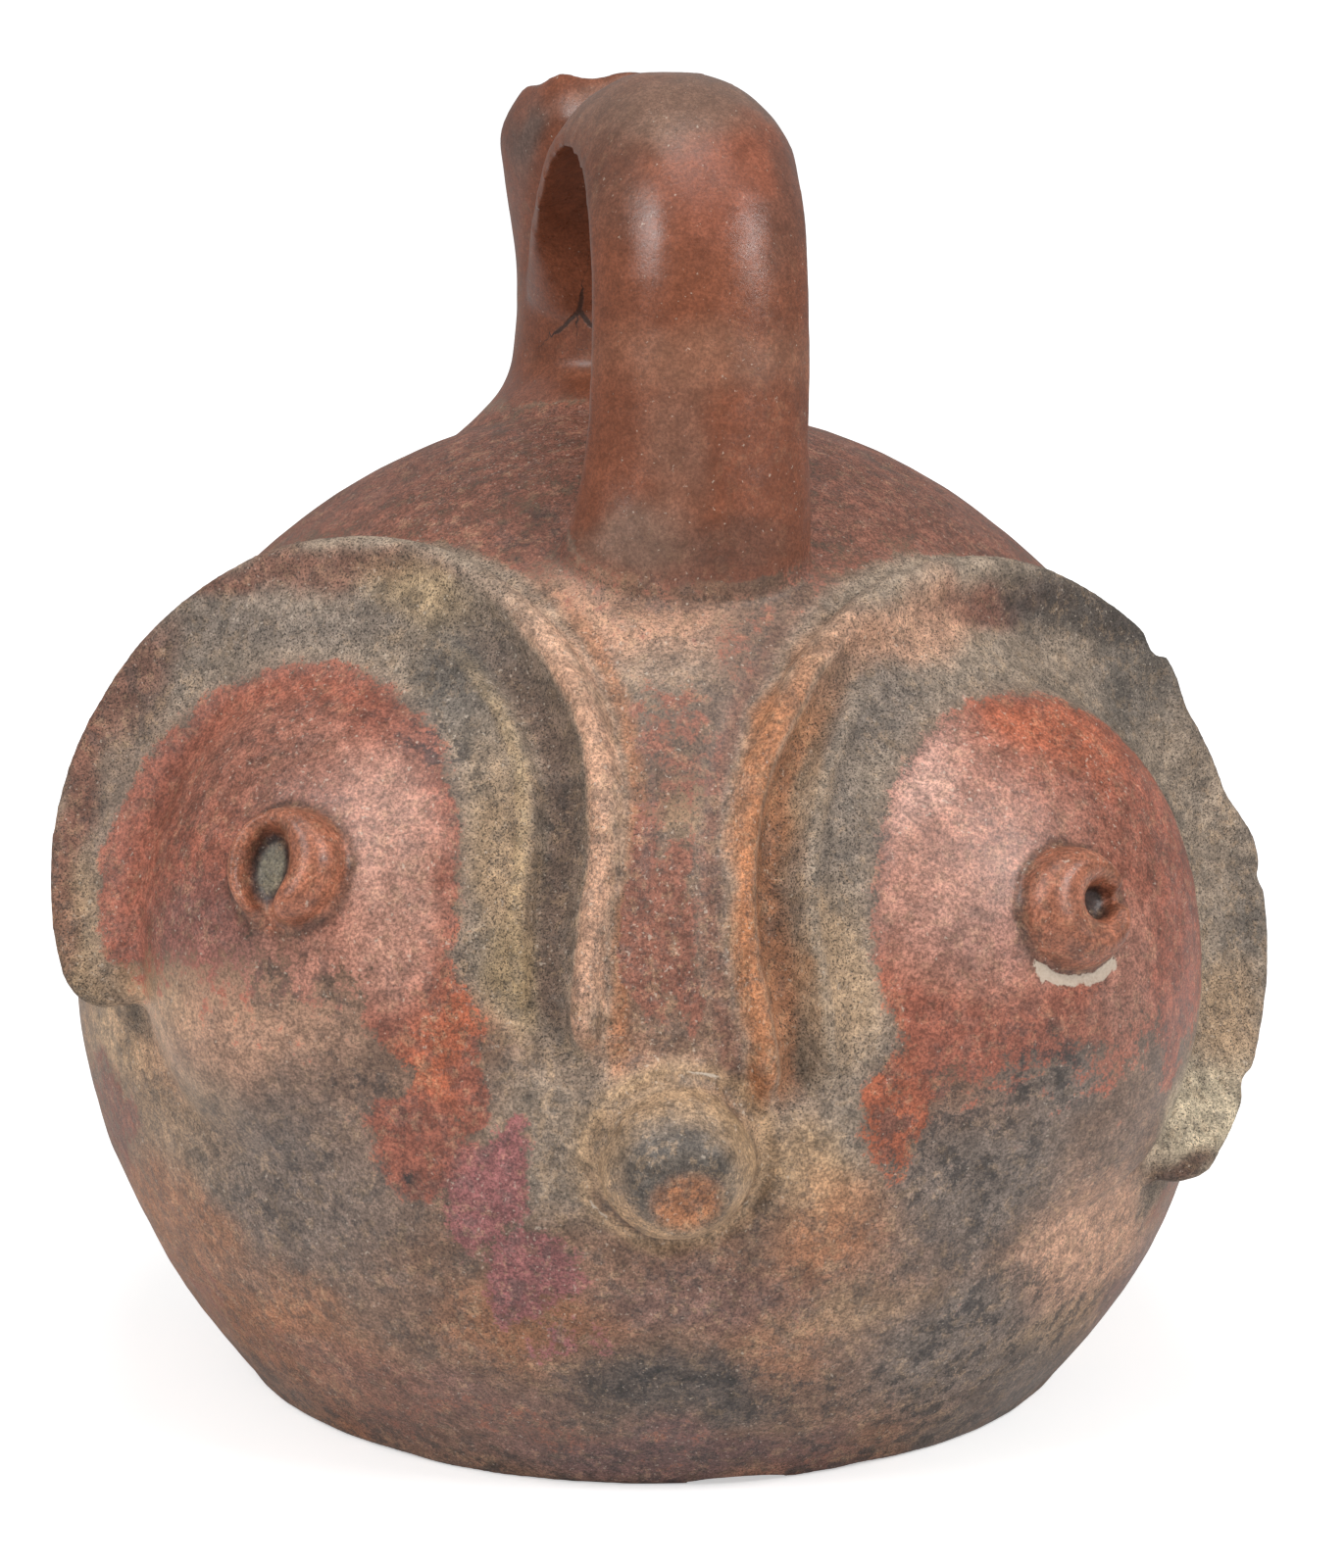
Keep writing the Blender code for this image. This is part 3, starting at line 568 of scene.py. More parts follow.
def beak_mesh():
    foot, across, up, outward = beak_place()
    tip = foot + BEAK_HEIGHT * outward + BEAK_LEAN_ACROSS * across + BEAK_LEAN_UP * up
    axis = (tip - foot) / np.linalg.norm(tip - foot)
    profile = [
        (0.0, BEAK_HEIGHT - 0.3),
        (BEAK_TIP_RADIUS - 1.4, BEAK_HEIGHT),
        (BEAK_TIP_RADIUS - 0.3, BEAK_HEIGHT - 0.4),
        (BEAK_TIP_RADIUS + 0.6, BEAK_HEIGHT - 1.5),
        (0.5 * (BEAK_BASE_RADIUS + BEAK_TIP_RADIUS) + BEAK_SWELL, 0.5 * BEAK_HEIGHT),
        (BEAK_BASE_RADIUS, 0.12 * BEAK_HEIGHT),
        (BEAK_BASE_RADIUS + 0.5 * BEAK_SKIRT, -0.4),
        (BEAK_BASE_RADIUS + BEAK_SKIRT, -2.6),
        (0.0, -5.0),
    ]
    return turned("Beak", profile, 48, placed(foot, axis))


def pupil_place(eye_name):
    """Foot of the pupil on its dome, and the direction that it stands in."""
    eye = EYES[eye_name]
    centre, across, up, normal = eye_frame(eye)
    ray = centre + eye["pupil_across"] * across + eye["pupil_up"] * up - body_centre()
    ray = ray / np.linalg.norm(ray)
    foot = body_centre() + ray * float(body_reach(ray[None, :])[0])
    step = 2.0
    slopes = []
    for way in (across, up):
        ends = []
        for sign in (1.0, -1.0):
            near = foot + sign * step * way - body_centre()
            near = near / np.linalg.norm(near)
            ends.append(body_centre() + near * float(body_reach(near[None, :])[0]))
        slopes.append(ends[0] - ends[1])
    stand = np.cross(slopes[0], slopes[1])
    return foot, stand / np.linalg.norm(stand)


def pupil_section(hole, angle, size):
    """Ring across the roll at an angle about the hollow: along the ray from the hollow and above the dome."""
    way = np.array([math.cos(math.radians(angle)), math.sin(math.radians(angle))])
    middle = np.array([hole["across"], hole["up"]])
    inner = 1.0 / math.hypot(way[0] / hole["half_width"], way[1] / hole["half_height"])
    along = middle @ way
    outer = -along + math.sqrt(along**2 - middle @ middle + PUPIL_RADIUS**2)
    centre = 0.5 * (inner + outer)
    half = 0.5 * (outer - inner) * size
    tall = PUPIL_HEIGHT * size * min(1.0, 0.62 + 0.13 * half)
    ring = []
    for index in range(PUPIL_SECTION_POINTS):
        turn = 2.0 * math.pi * index / PUPIL_SECTION_POINTS
        rise = math.sin(turn)
        place = middle + (centre + half * math.cos(turn)) * way
        ring.append((place[0], place[1], rise * (tall if rise > 0.0 else PUPIL_ROOT)))
    return ring


def pupil_mesh(eye_name):
    hole = PUPIL_HOLES[eye_name]
    start = hole["gap_angle"] + hole["gap_half_angle"]
    span = 360.0 - 2.0 * hole["gap_half_angle"]
    sections = []
    for station in range(PUPIL_STEPS + 1):
        turned_by = span * station / PUPIL_STEPS
        to_end = min(turned_by, span - turned_by) / PUPIL_END_ANGLE
        size = end_size(to_end, 0.4)
        sections.append(pupil_section(hole, start + turned_by, size))
    mesh = lofted("Pupil_" + eye_name, sections)
    mesh.transform(placed(*pupil_place(eye_name)))
    return mesh


def rim_wave(x, y):
    """Unevenness of the worn rim around the spout, which falls away behind its front."""
    turn = np.arctan2(y - SPOUT_Y, x - SPOUT_X)
    drop = RIM_DROP * smooth_step((y - SPOUT_Y + RIM_DROP_START) / RIM_DROP_SPAN)
    drop = drop + RIM_SIDE_DROP * np.cos(turn) ** 4
    return RIM_WAVE * np.sin(RIM_WAVES * turn + math.radians(RIM_WAVE_TURN)) - drop


def wavy_rim(mesh):
    for vertex in mesh.vertices:
        x, y, z = (value / MM for value in vertex.co)
        share = smooth_step((z - SPOUT_RIM_Z + 2.0 * RIM_DROP) / (2.0 * RIM_DROP))
        vertex.co.z = (z + float(share * rim_wave(x, y))) * MM
    mesh.update()
    return mesh


def shoulder_height(x, y):
    """Height of the body's sphere at a place on its upper half."""
    return BODY_CENTRE_Z + math.sqrt(max(BODY_RADIUS**2 - x**2 - y**2, 0.0))


def fitted_to_shoulder(mesh):
    """Lets the spout's flare follow the slope of the body all the way round."""
    for vertex in mesh.vertices:
        x, y, z = (value / MM for value in vertex.co)
        radius = math.hypot(x - SPOUT_X, y - SPOUT_Y)
        share = float(smooth_step((SPOUT_FLARE_Z - z) / SPOUT_FLARE_SPAN))
        slope = shoulder_height(x, y) - shoulder_height(SPOUT_X - radius, SPOUT_Y)
        vertex.co.z = (z + share * slope) * MM
    mesh.update()
    return mesh


def corners_cut(points, rounds):
    """An open outline with each corner cut off a quarter of the way along both its sides."""
    for _ in range(rounds):
        cut = [points[0]]
        for first, second in zip(points[:-1], points[1:]):
            for share in (0.25, 0.75):
                cut.append(tuple(a + share * (b - a) for a, b in zip(first, second)))
        cut.append(points[-1])
        points = cut
    return points


def over_spout():
    return Matrix.Translation(Vector((SPOUT_X * MM, SPOUT_Y * MM, 0.0)))


def spout_mesh():
    outline = [(SPOUT_LIP_RADIUS, SPOUT_RIM_Z)]
    outline.extend((radius, height) for height, radius in SPOUT_OUTSIDE)
    profile = [(0.0, SPOUT_RIM_Z)]
    profile.extend(corners_cut(outline, SPOUT_ROUNDING_STEPS))
    profile.append((0.0, SPOUT_OUTSIDE[-1][0]))
    return wavy_rim(fitted_to_shoulder(turned("Spout", profile, SPOUT_STEPS, over_spout())))


def bore_mesh():
    profile = [
        (0.0, SPOUT_RIM_Z + 6.0),
        (SPOUT_LIP_RADIUS + 0.8, SPOUT_RIM_Z + 6.0),
        (SPOUT_LIP_RADIUS - 0.4, SPOUT_RIM_Z + 0.4),
        (SPOUT_BORE_RIM, SPOUT_RIM_Z - 2.0),
        (SPOUT_BORE_RIM - 0.6, SPOUT_RIM_Z - SPOUT_BORE_RIM_DEPTH),
        (SPOUT_BORE_NECK, SPOUT_NECK_Z + 4.0),
        (SPOUT_BORE_NECK, SPOUT_NECK_Z - 8.0),
        (SPOUT_BORE_FOOT, SPOUT_FOOT_Z),
        (SPOUT_BORE_FOOT + 6.0, SPOUT_FOOT_Z - 6.0),
        (0.0, SPOUT_FOOT_Z - SPOUT_BORE_DEPTH),
    ]
    return turned("Spout_bore", profile, CAVITY_STEPS, over_spout())


def cavity_reach(rays, distance):
    for eye in EYES.values():
        distance = distance + DOME_CAVITY_SHARE * dome_height(rays, eye, WALL)
    return distance


def cavity_mesh():
    """The hollow of the body: its inner sphere over a flat floor, pressed out behind each eye."""
    inner = BODY_RADIUS - WALL
    floor_angle = math.asin((FLOOR_THICKNESS + 5.0 - BODY_CENTRE_Z) / inner)
    profile = []
    for index in range(CAVITY_ARC_STEPS + 1):
        angle = math.pi / 2 + (floor_angle - math.pi / 2) * index / CAVITY_ARC_STEPS
        profile.append((inner * math.cos(angle), BODY_CENTRE_Z + inner * math.sin(angle)))
    profile.append((profile[-1][0] - 7.0, FLOOR_THICKNESS + 1.0))
    profile.append((profile[-1][0] - 8.0, FLOOR_THICKNESS))
    profile.append((0.0, FLOOR_THICKNESS))
    mesh = turned("Cavity", profile, CAVITY_STEPS, Matrix.Identity(4))
    return moved_out(mesh, FLOOR_THICKNESS + 8.0, cavity_reach)


def strap_length():
    return float(np.linalg.norm(np.diff(np.array(STRAP_PATH), axis=0), axis=1).sum())


def strap_line(share):
    """Middle of the strap at a share from 0 at the brow to 1 at the spout."""
    points = np.array(STRAP_PATH)
    lengths = np.linalg.norm(np.diff(points, axis=0), axis=1)
    along = np.concatenate([[0.0], np.cumsum(lengths)])
    near = np.clip(share, 0.0, 1.0) * along[-1]
    spread = 5.0
    samples = np.linspace(near - spread, near + spread, 9)
    samples = np.clip(samples, min(near, 0.0), max(near, along[-1]))
    return np.array([np.interp(samples, along, points[:, axis]).mean() for axis in range(3)]), near


def strap_section(share):
    middle, along = strap_line(share)
    ahead = strap_line(share + 0.01)[0] - strap_line(share - 0.01)[0]
    ahead = ahead / np.linalg.norm(ahead)
    side = np.cross([0.0, -1.0, 0.0], [0.0, 0.0, 1.0])
    side = -side - (-side @ ahead) * ahead
    side = side / np.linalg.norm(side)
    outward = np.cross(side, ahead)
    flare = (STRAP_FOOT_WIDTH - STRAP_WIDTH) * math.exp(-max(along, 0.0) / STRAP_FOOT_FLARE)
    wrap = smooth_step(1.0 - (strap_length() - along) / STRAP_WRAP_SPAN)
    bend = STRAP_WRAP * wrap - STRAP_CROWN * (1.0 - wrap)
    left = 0.5 * STRAP_WIDTH + STRAP_FOOT_LEFT_SHARE * flare
    right = 0.5 * STRAP_WIDTH + (1.0 - STRAP_FOOT_LEFT_SHARE) * flare
    ring = []
    for row in (1.0, -1.0):
        for index in range(STRAP_SECTION_POINTS):
            across = 1.0 - 2.0 * index / (STRAP_SECTION_POINTS - 1)
            across = across * row
            thickness = STRAP_EDGE + (STRAP_MIDDLE - STRAP_EDGE) * math.sqrt(max(1.0 - across**2, 0.0))
            lift = bend * (abs(across) ** STRAP_CROWN_POWER - 0.4) + row * 0.5 * thickness
            half = right if across > 0.0 else left
            ring.append(middle + half * across * side + lift * outward)
    return ring


def strap_mesh():
    sections = [strap_section(index / STRAP_STATIONS) for index in range(STRAP_STATIONS + 1)]
    return lofted("Strap", sections)


def chip_mesh():
    work = bmesh.new()
    bmesh.ops.create_icosphere(work, subdivisions=2, radius=MM)
    mesh = bpy.data.meshes.new("Base_chip")
    work.to_mesh(mesh)
    work.free()
    outward = direction(CHIP_AZIMUTH, 0.0)
    across, up = frame_axes(outward)
    place = (BASE_RADIUS + 1.0) * outward
    size = Matrix.Diagonal((0.5 * CHIP_WIDTH, CHIP_HEIGHT, CHIP_DEPTH, 1.0))
    mesh.transform(placed(place, outward) @ size)
    return mesh


def joined(name, meshes):
    work = bmesh.new()
    for mesh in meshes:
        work.from_mesh(mesh)
    result = bpy.data.meshes.new(name)
    work.to_mesh(result)
    work.free()
    return result


# Camera of the photograph, in its own pixels
PHOTO_WIDTH = 1371
PHOTO_HEIGHT = 1600
CAMERA_AZIMUTH = -3.0
CAMERA_ELEVATION = 15.0
CAMERA_DISTANCE = 651.0
FOCAL_PIXELS = 4445.0
AIM_X = 659.0
AIM_Y = 989.0
SENSOR_MM = 24.0

# How far the crest of each disc's rim stands up and its channel goes down beyond the solid's own
CHANNEL_RELIEF = {"left": (1.0, 0.8), "right": (0.7, 0.6)}

# Studio: strength of the white surround on the jar; glow of the floor under it and far off, with the
# metres between them; half the floor's side in mm; each lamp's direction, distance, size and power
AMBIENT = 0.34
FLOOR_GLOW_NEAR = 0.5
FLOOR_GLOW_FAR = 0.85
FLOOR_GLOW_SPAN = (0.05, 0.7)
FLOOR_REACH = 20000.0
LIGHTS = (
    ("Left", -50.0, 42.0, 900.0, 300.0, 3.5),
    ("Right", 50.0, 38.0, 900.0, 300.0, 3.9),
    ("Top", 0.0, 80.0, 900.0, 400.0, 1.7),
)

SCENE_VOXEL = 0.74
SCENE_SMOOTHING = 4
TRIANGLE_LIMIT = 182000

# Lattice of the noise: cells before it repeats, and an offset that keeps the jar off its corner
NOISE_CELLS = 32
NOISE_OFFSET = 100.0

# How far behind its disc's plane the face of a disc still reaches
FACE_DEPTH = 26.0


def camera_axes():
    away = direction(CAMERA_AZIMUTH, CAMERA_ELEVATION)
    right, up = frame_axes(away)
    place = body_centre() + CAMERA_DISTANCE * away
    return place, right, up, -away


def lattice_noise(points, size, seed):
    """Smooth noise from -1 to 1 with features of about the given size in millimetres."""
    table = np.random.default_rng(seed).uniform(-1.0, 1.0, (NOISE_CELLS,) * 3)
    scaled = points / size + NOISE_OFFSET
    cell = np.floor(scaled).astype(int)
    part = scaled - cell
    part = part * part * (3.0 - 2.0 * part)
    total = np.zeros(len(points))
    for corner in np.ndindex(2, 2, 2):
        weight = np.prod(np.where(corner, part, 1.0 - part), axis=1)
        total += weight * table[tuple(((cell + corner) % NOISE_CELLS).T)]
    return total


def layered_noise(points, size, seed, layers=3):
    total = np.zeros(len(points))
    for layer in range(layers):
        total += 0.5**layer * lattice_noise(points, size / 2**layer, seed + layer)
    return total / 1.6


def mesh_normals(mesh):
    normals = np.empty(len(mesh.vertices) * 3, np.float32)
    mesh.vertex_normals.foreach_get("vector", normals)
    return normals.reshape(-1, 3).astype(float)


def evaluated(obj):
    bpy.context.view_layer.update()
    graph = bpy.context.evaluated_depsgraph_get()
    return bpy.data.meshes.new_from_object(obj.evaluated_get(graph))


def with_modifier(mesh, kind, **settings):
    """The mesh as one modifier leaves it."""
    helper = linked("helper", mesh)
    modifier = helper.modifiers.new("step", kind)
    for name, value in settings.items():
        setattr(modifier, name, value)
    result = evaluated(helper)
    bpy.data.objects.remove(helper, do_unlink=True)
    return result


def cut_away(mesh, cutter_mesh):
    cutter = linked("cutter", cutter_mesh)
    result = with_modifier(mesh, "BOOLEAN", operation="DIFFERENCE", solver="EXACT", object=cutter)
    bpy.data.objects.remove(cutter, do_unlink=True)
    return result


def eye_place(points, eye_name):
    """Place of each point across and up its disc, its angle and radius there, and its height over it."""
    centre, across, up, normal = eye_frame(EYES[eye_name])
    offset = points - centre
    x, y = offset @ across, offset @ up
    return x, y, disc_angle(x, y), np.hypot(x, y), offset @ normal


def relief(points, normals):
    """Height of the hand-made unevenness along the normal, in millimetres."""
    rise = 0.30 * lattice_noise(points, 24.0, 11) + 0.16 * lattice_noise(points, 9.0, 21)
    rise = rise + 0.07 * lattice_noise(points, 3.0, 31)
    for eye_name, (crest, groove) in CHANNEL_RELIEF.items():
        eye = EYES[eye_name]
        _, _, angle, radius, height = eye_place(points, eye_name)
        inset = rim_radius(eye_name, angle) - radius + 0.3 * lattice_noise(points, 8.0, 41)
        along = nose_weight(eye, angle) * (height > -FACE_DEPTH)
        rise = rise + crest * along * ridge(inset, 1.2, 1.3)
        rise = rise - groove * along * ridge(inset, 0.5 * eye["lip_inset"] + 0.6, 2.2)
        rise = rise + 0.5 * along * ridge(inset, eye["lip_inset"], 1.2)
        rise = rise - 0.5 * along * ridge(inset, -2.4, 1.3)
    foot, across, up, outward = beak_place()
    offset = points - foot
    beak_radius = np.hypot(offset @ across - 0.5 * BEAK_LEAN_ACROSS, offset @ up - 0.5 * BEAK_LEAN_UP)
    near = (offset @ outward > -6.0) & (beak_radius < 18.0)
    rise = rise + near * 0.35 * layered_noise(points, 4.5, 51)
    rise = rise - near * 1.1 * ridge(beak_radius, BEAK_BASE_RADIUS + 0.4, 1.3)
    return rise


def ridge(value, middle, half_width):
    return np.exp(-(((value - middle) / half_width) ** 2))


def outer_mesh():
    pieces = [body_mesh(), spout_mesh(), strap_mesh(), beak_mesh()]
    for eye_name in EYES:
        pieces.append(flange_mesh(eye_name))
        pieces.append(pupil_mesh(eye_name))
    mesh = joined("Outer", pieces)
    mesh = with_modifier(mesh, "REMESH", mode="VOXEL", voxel_size=SCENE_VOXEL * MM)
    mesh = with_modifier(mesh, "SMOOTH", factor=0.5, iterations=SCENE_SMOOTHING)
    points, normals = mesh_points(mesh), mesh_normals(mesh)
    points = points + relief(points, normals)[:, None] * normals
    low, high = (np.array(corner) / MM for corner in cad_box)
    set_points(mesh, np.clip(points, low + 0.01, high - 0.01))
    return mesh


def jar_mesh():
    mesh = outer_mesh()
    triangles = 2 * len(mesh.polygons)
    mesh = with_modifier(mesh, "DECIMATE", ratio=min(1.0, TRIANGLE_LIMIT / triangles))
    mesh = cut_away(mesh, cavity_mesh())
    mesh = cut_away(mesh, bore_mesh())
    return cut_away(mesh, chip_mesh())


# Tones of the clay, its slip and its stains, as sRGB values from 0 to 255
TONES = {
    "orange": (166, 92, 64),
    "red": (146, 86, 68),
    "brown red": (132, 86, 70),
    "handle red": (122, 70, 48),
    "pink": (184, 140, 122),
    "pale pink": (206, 164, 148),
    "magenta": (146, 92, 90),
    "purple": (122, 90, 88),
    "dark brown": (92, 64, 52),
    "grey brown": (120, 98, 84),
    "warm brown": (150, 112, 90),
    "tan": (184, 152, 118),
    "pink tan": (200, 154, 126),
    "yellow tan": (184, 156, 118),
    "orange tan": (178, 116, 76),
    "pale": (216, 198, 168),
    "plaster": (206, 190, 172),
    "grey tan": (156, 138, 120),
    "grey": (124, 112, 103),
    "dark grey": (84, 80, 76),
    "blue grey": (84, 84, 88),
    "black": (48, 44, 44),
    "pupil": (156, 98, 74),
    "fill": (118, 110, 90),
}

# Stains of the bare clay, in the photograph's pixels: middle, half sizes, tilt in degrees, tone, strength
GROUND_PATCHES = (
    (640, 620, 120, 80, 0, "pink tan", 0.7),
    (520, 520, 90, 40, -30, "warm brown", 0.7),
    (700, 600, 130, 22, 4, "dark brown", 0.7),
    (670, 690, 60, 50, 0, "grey tan", 0.6),
    (700, 815, 24, 30, 0, "tan", 0.5),
    (560, 1150, 70, 90, 0, "grey tan", 0.9),
    (690, 1100, 70, 26, 0, "warm brown", 0.7),
    (815, 1180, 70, 60, 20, "tan", 0.9),
    (870, 1130, 26, 60, 0, "grey tan", 0.9),
    (860, 1250, 80, 50, -20, "orange tan", 0.55),
    (640, 1290, 110, 36, 0, "warm brown", 0.6),
    (710, 1320, 110, 44, 0, "purple", 0.5),
    (130, 1040, 60, 60, 10, "tan", 0.9),
    (250, 1040, 110, 70, 0, "pink tan", 0.55),
    (190, 1160, 90, 60, 30, "tan", 0.5),
    (290, 1220, 110, 90, 20, "grey", 0.7),
    (180, 1270, 40, 110, -38, "orange tan", 0.6),
    (330, 1380, 50, 130, -62, "orange tan", 0.5),
    (430, 1420, 150, 40, 15, "purple", 0.5),
    (560, 1345, 90, 30, 10, "orange tan", 0.5),
    (680, 1425, 120, 34, 0, "dark grey", 0.8),
    (1000, 1370, 130, 70, -25, "grey", 0.9),
    (1110, 1270, 60, 90, 20, "pink tan", 0.8),
    (1080, 1350, 60, 20, -30, "tan", 0.5),
    (980, 1200, 100, 90, -20, "grey", 0.8),
    (1050, 1090, 60, 60, 0, "grey", 0.8),
    (860, 1340, 80, 24, -15, "tan", 0.4),
    (1150, 1350, 40, 90, 35, "purple", 0.6),
    (690, 1485, 190, 26, 0, "purple", 0.8),
)

# Red slip that has lasted on the body outside the domes, in the same terms
SLIP_PATCHES = (
    (690, 760, 70, 90, 0, "brown red", 0.7),
    (700, 950, 26, 120, 2, "brown red", 1.0),
    (655, 930, 30, 130, 0, "brown red", 1.0),
    (765, 660, 50, 70, 20, "brown red", 0.6),
    (750, 860, 22, 130, 6, "brown red", 0.7),
    (420, 1010, 60, 90, 0, "orange", 1.1),
    (458, 1090, 36, 70, 10, "orange", 1.0),
    (476, 1120, 16, 60, 12, "red", 1.0),
    (430, 1180, 56, 52, 0, "red", 1.2),
    (495, 1215, 34, 90, 24, "magenta", 1.1),
    (540, 1300, 54, 60, 20, "magenta", 1.0),
    (600, 1370, 60, 34, 15, "magenta", 0.7),
    (914, 1095, 34, 120, 8, "orange", 1.05),
    (960, 1030, 80, 60, 0, "orange", 1.0),
    (1130, 1050, 50, 90, 20, "purple", 0.6),
    (1200, 1060, 16, 70, 8, "red", 0.9),
    (380, 490, 120, 60, -30, "brown red", 0.9),
    (950, 520, 130, 50, 25, "brown red", 1.0),
    (1180, 1230, 36, 60, 20, "brown red", 0.6),
    (110, 1130, 24, 80, -14, "brown red", 0.8),
    (240, 1340, 30, 120, -45, "brown red", 0.6),
    (500, 1450, 160, 26, 10, "brown red", 0.6),
    (750, 1480, 170, 24, 0, "brown red", 0.5),
    (780, 1350, 90, 30, 0, "brown red", 0.4),
)

# Dark smoke clouds that lie over both, without a tone
SMOKE_PATCHES = (
    (1050, 1090, 50, 60, 10, 0.42),
    (980, 1180, 80, 90, -20, 0.34),
    (1010, 1360, 130, 60, -25, 0.4),
    (900, 1420, 150, 30, -8, 0.4),
    (680, 1420, 110, 30, 0, 0.45),
    (300, 1010, 80, 44, 20, 0.3),
    (370, 1110, 60, 30, 30, 0.3),
    (290, 1210, 90, 70, 20, 0.24),
    (300, 760, 60, 30, -20, 0.25),
    (440, 750, 60, 30, 40, 0.45),
    (545, 545, 40, 26, -30, 0.3),
    (408, 1200, 9, 9, 0, 0.9),
    (560, 860, 20, 60, 0, 0.2),
)

# Stains of the discs' rings, in the same terms
RING_PATCHES = (
    (190, 655, 110, 46, -40, "grey", 0.6),
    (100, 800, 60, 130, 10, "grey brown", 0.7),
    (80, 960, 60, 80, 0, "tan", 0.7),
    (330, 640, 110, 26, 0, "grey", 0.6),
    (300, 588, 150, 20, 0, "brown red", 0.8),
    (70, 850, 18, 150, 4, "brown red", 0.8),
    (115, 700, 40, 90, 38, "brown red", 0.7),
    (425, 620, 56, 34, 20, "yellow tan", 0.7),
    (470, 690, 50, 60, 30, "dark grey", 0.75),
    (505, 880, 34, 110, 0, "tan", 0.8),
    (510, 1030, 34, 70, 0, "yellow tan", 0.9),
    (930, 632, 80, 34, -25, "pink tan", 0.9),
    (1010, 606, 60, 26, 0, "brown red", 0.9),
    (1120, 625, 90, 40, 20, "black", 0.8),
    (1170, 700, 50, 70, 40, "dark grey", 0.7),
    (1240, 830, 40, 60, 20, "grey tan", 0.6),
    (1262, 940, 30, 50, 0, "dark grey", 0.6),
    (1250, 1040, 40, 60, 0, "tan", 0.7),
    (1225, 1140, 60, 50, -20, "pale", 0.9),
    (1200, 1195, 60, 14, -25, "dark brown", 0.9),
    (900, 720, 60, 50, -30, "grey", 0.7),
    (850, 830, 34, 90, 0, "grey", 0.5),
    (850, 1000, 40, 90, 0, "tan", 0.7),
    (790, 950, 26, 130, 0, "orange tan", 0.3),
    (815, 800, 20, 70, 10, "tan", 0.6),
)

# Stains of the domes, in the same terms, with a painted highlight on the right dome
DOME_PATCHES = (
    (330, 790, 90, 50, 0, "pink", 0.35),
    (400, 880, 60, 110, 0, "pink", 0.75),
    (330, 990, 110, 50, 0, "pink", 0.45),
    (210, 960, 60, 60, 0, "purple", 0.4),
    (250, 800, 70, 60, -30, "brown red", 0.5),
    (455, 980, 22, 110, 0, "red", 0.9),
    (970, 850, 120, 90, 0, "pink", 0.6),
    # Painted highlight on the upper left of the right dome
    (930, 780, 70, 44, -40, "pale pink", 0.55),
    (1100, 745, 130, 44, 18, "orange", 0.7),
    (1195, 890, 34, 100, -8, "red", 0.8),
    (990, 950, 90, 70, 0, "pink", 0.5),
    (985, 940, 70, 40, 20, "purple", 0.25),
    (1120, 870, 70, 50, 0, "brown red", 0.4),
    (1130, 1050, 70, 44, 0, "brown red", 0.7),
    (1150, 990, 30, 60, 0, "pink", 0.4),
)

# Stains of the strap and of the spout, in the same terms
STRAP_PATCHES = (
    (690, 110, 120, 44, 0, "grey brown", 0.7),
    (620, 180, 40, 60, 30, "dark brown", 0.5),
    (740, 200, 70, 60, 0, "red", 0.35),
    (720, 365, 120, 34, 0, "warm brown", 0.35),
    (690, 460, 36, 70, 0, "grey brown", 0.35),
    (640, 560, 70, 40, 0, "grey brown", 0.7),
    (750, 565, 70, 30, 0, "dark brown", 0.6),
    (800, 200, 20, 100, 0, "dark brown", 0.5),
)
SPOUT_PATCHES = (
    (540, 140, 26, 40, 0, "dark grey", 0.7),
    (590, 130, 26, 30, 0, "pale pink", 0.35),
    (530, 220, 20, 60, 0, "brown red", 0.7),
    (560, 300, 40, 50, 0, "warm brown", 0.5),
    (590, 260, 20, 50, 0, "dark brown", 0.5),
    (530, 400, 50, 30, 0, "brown red", 0.5),
)

# Tones across the nose side of each disc: channel, inner lip, crest of the rim, and its outer slope
CHANNEL_TONES = {
    "left": ("grey brown", "yellow tan", "pink tan", "orange tan"),
    "right": ("orange tan", "grey tan", "orange tan", "brown red"),
}

# Inset in millimetres from a disc's edge where its channel's tone starts, and how thick the grime and painted
# shade on the channel's floor are
CHANNEL_STARTS = {"left": 3.4, "right": 2.6}
CHANNEL_GRIME_AND_SHADE = {"left": 0.34, "right": 0.12}

# Red paint of each dome, across and up its disc in millimetres: middle and half sizes
PAINTED_OVALS = {
    "left": ((-4.5, -6.5), (29.5, 31.5)),
    "right": ((-2.5, -2.0), (30.5, 32.5)),
}

# Noises that the tones share, in millimetres, and how far the stains' edges wander in the photograph's pixels
CLOUD_SIZE = 46.0
MOTTLE_SIZE = 15.0
WANDER_SIZE = 12.0
WANDER = 34.0

# How much slip is left: behind, in front, on the strap and spout, in its patches and on the shoulder
BACK_COVER = 0.46
FRONT_COVER = 0.16
HANDLE_COVER = 0.92
PATCH_COVER = 0.72
SHOULDER_COVER = 0.62

# Height in millimetres around which the shoulder's slip begins, and the span over which it thickens
SHOULDER_SLIP_Z = 88.0
SHOULDER_SLIP_SPAN = 44.0

# Distance given to points that no crack is near, in the photograph's pixels
NO_CRACK = 50.0

# Where the spout is cracked, in the same pixels
SPOUT_CRACKS = (((592, 296), (588, 316), (562, 339)), ((588, 316), (606, 340)))


def linear(tone):
    share = np.array(TONES[tone]) / 255.0
    return np.where(share <= 0.04045, share / 12.92, ((share + 0.055) / 1.055) ** 2.4)


def tone_value(tone):
    return tuple(float(value) for value in linear(tone)) + (1.0,)


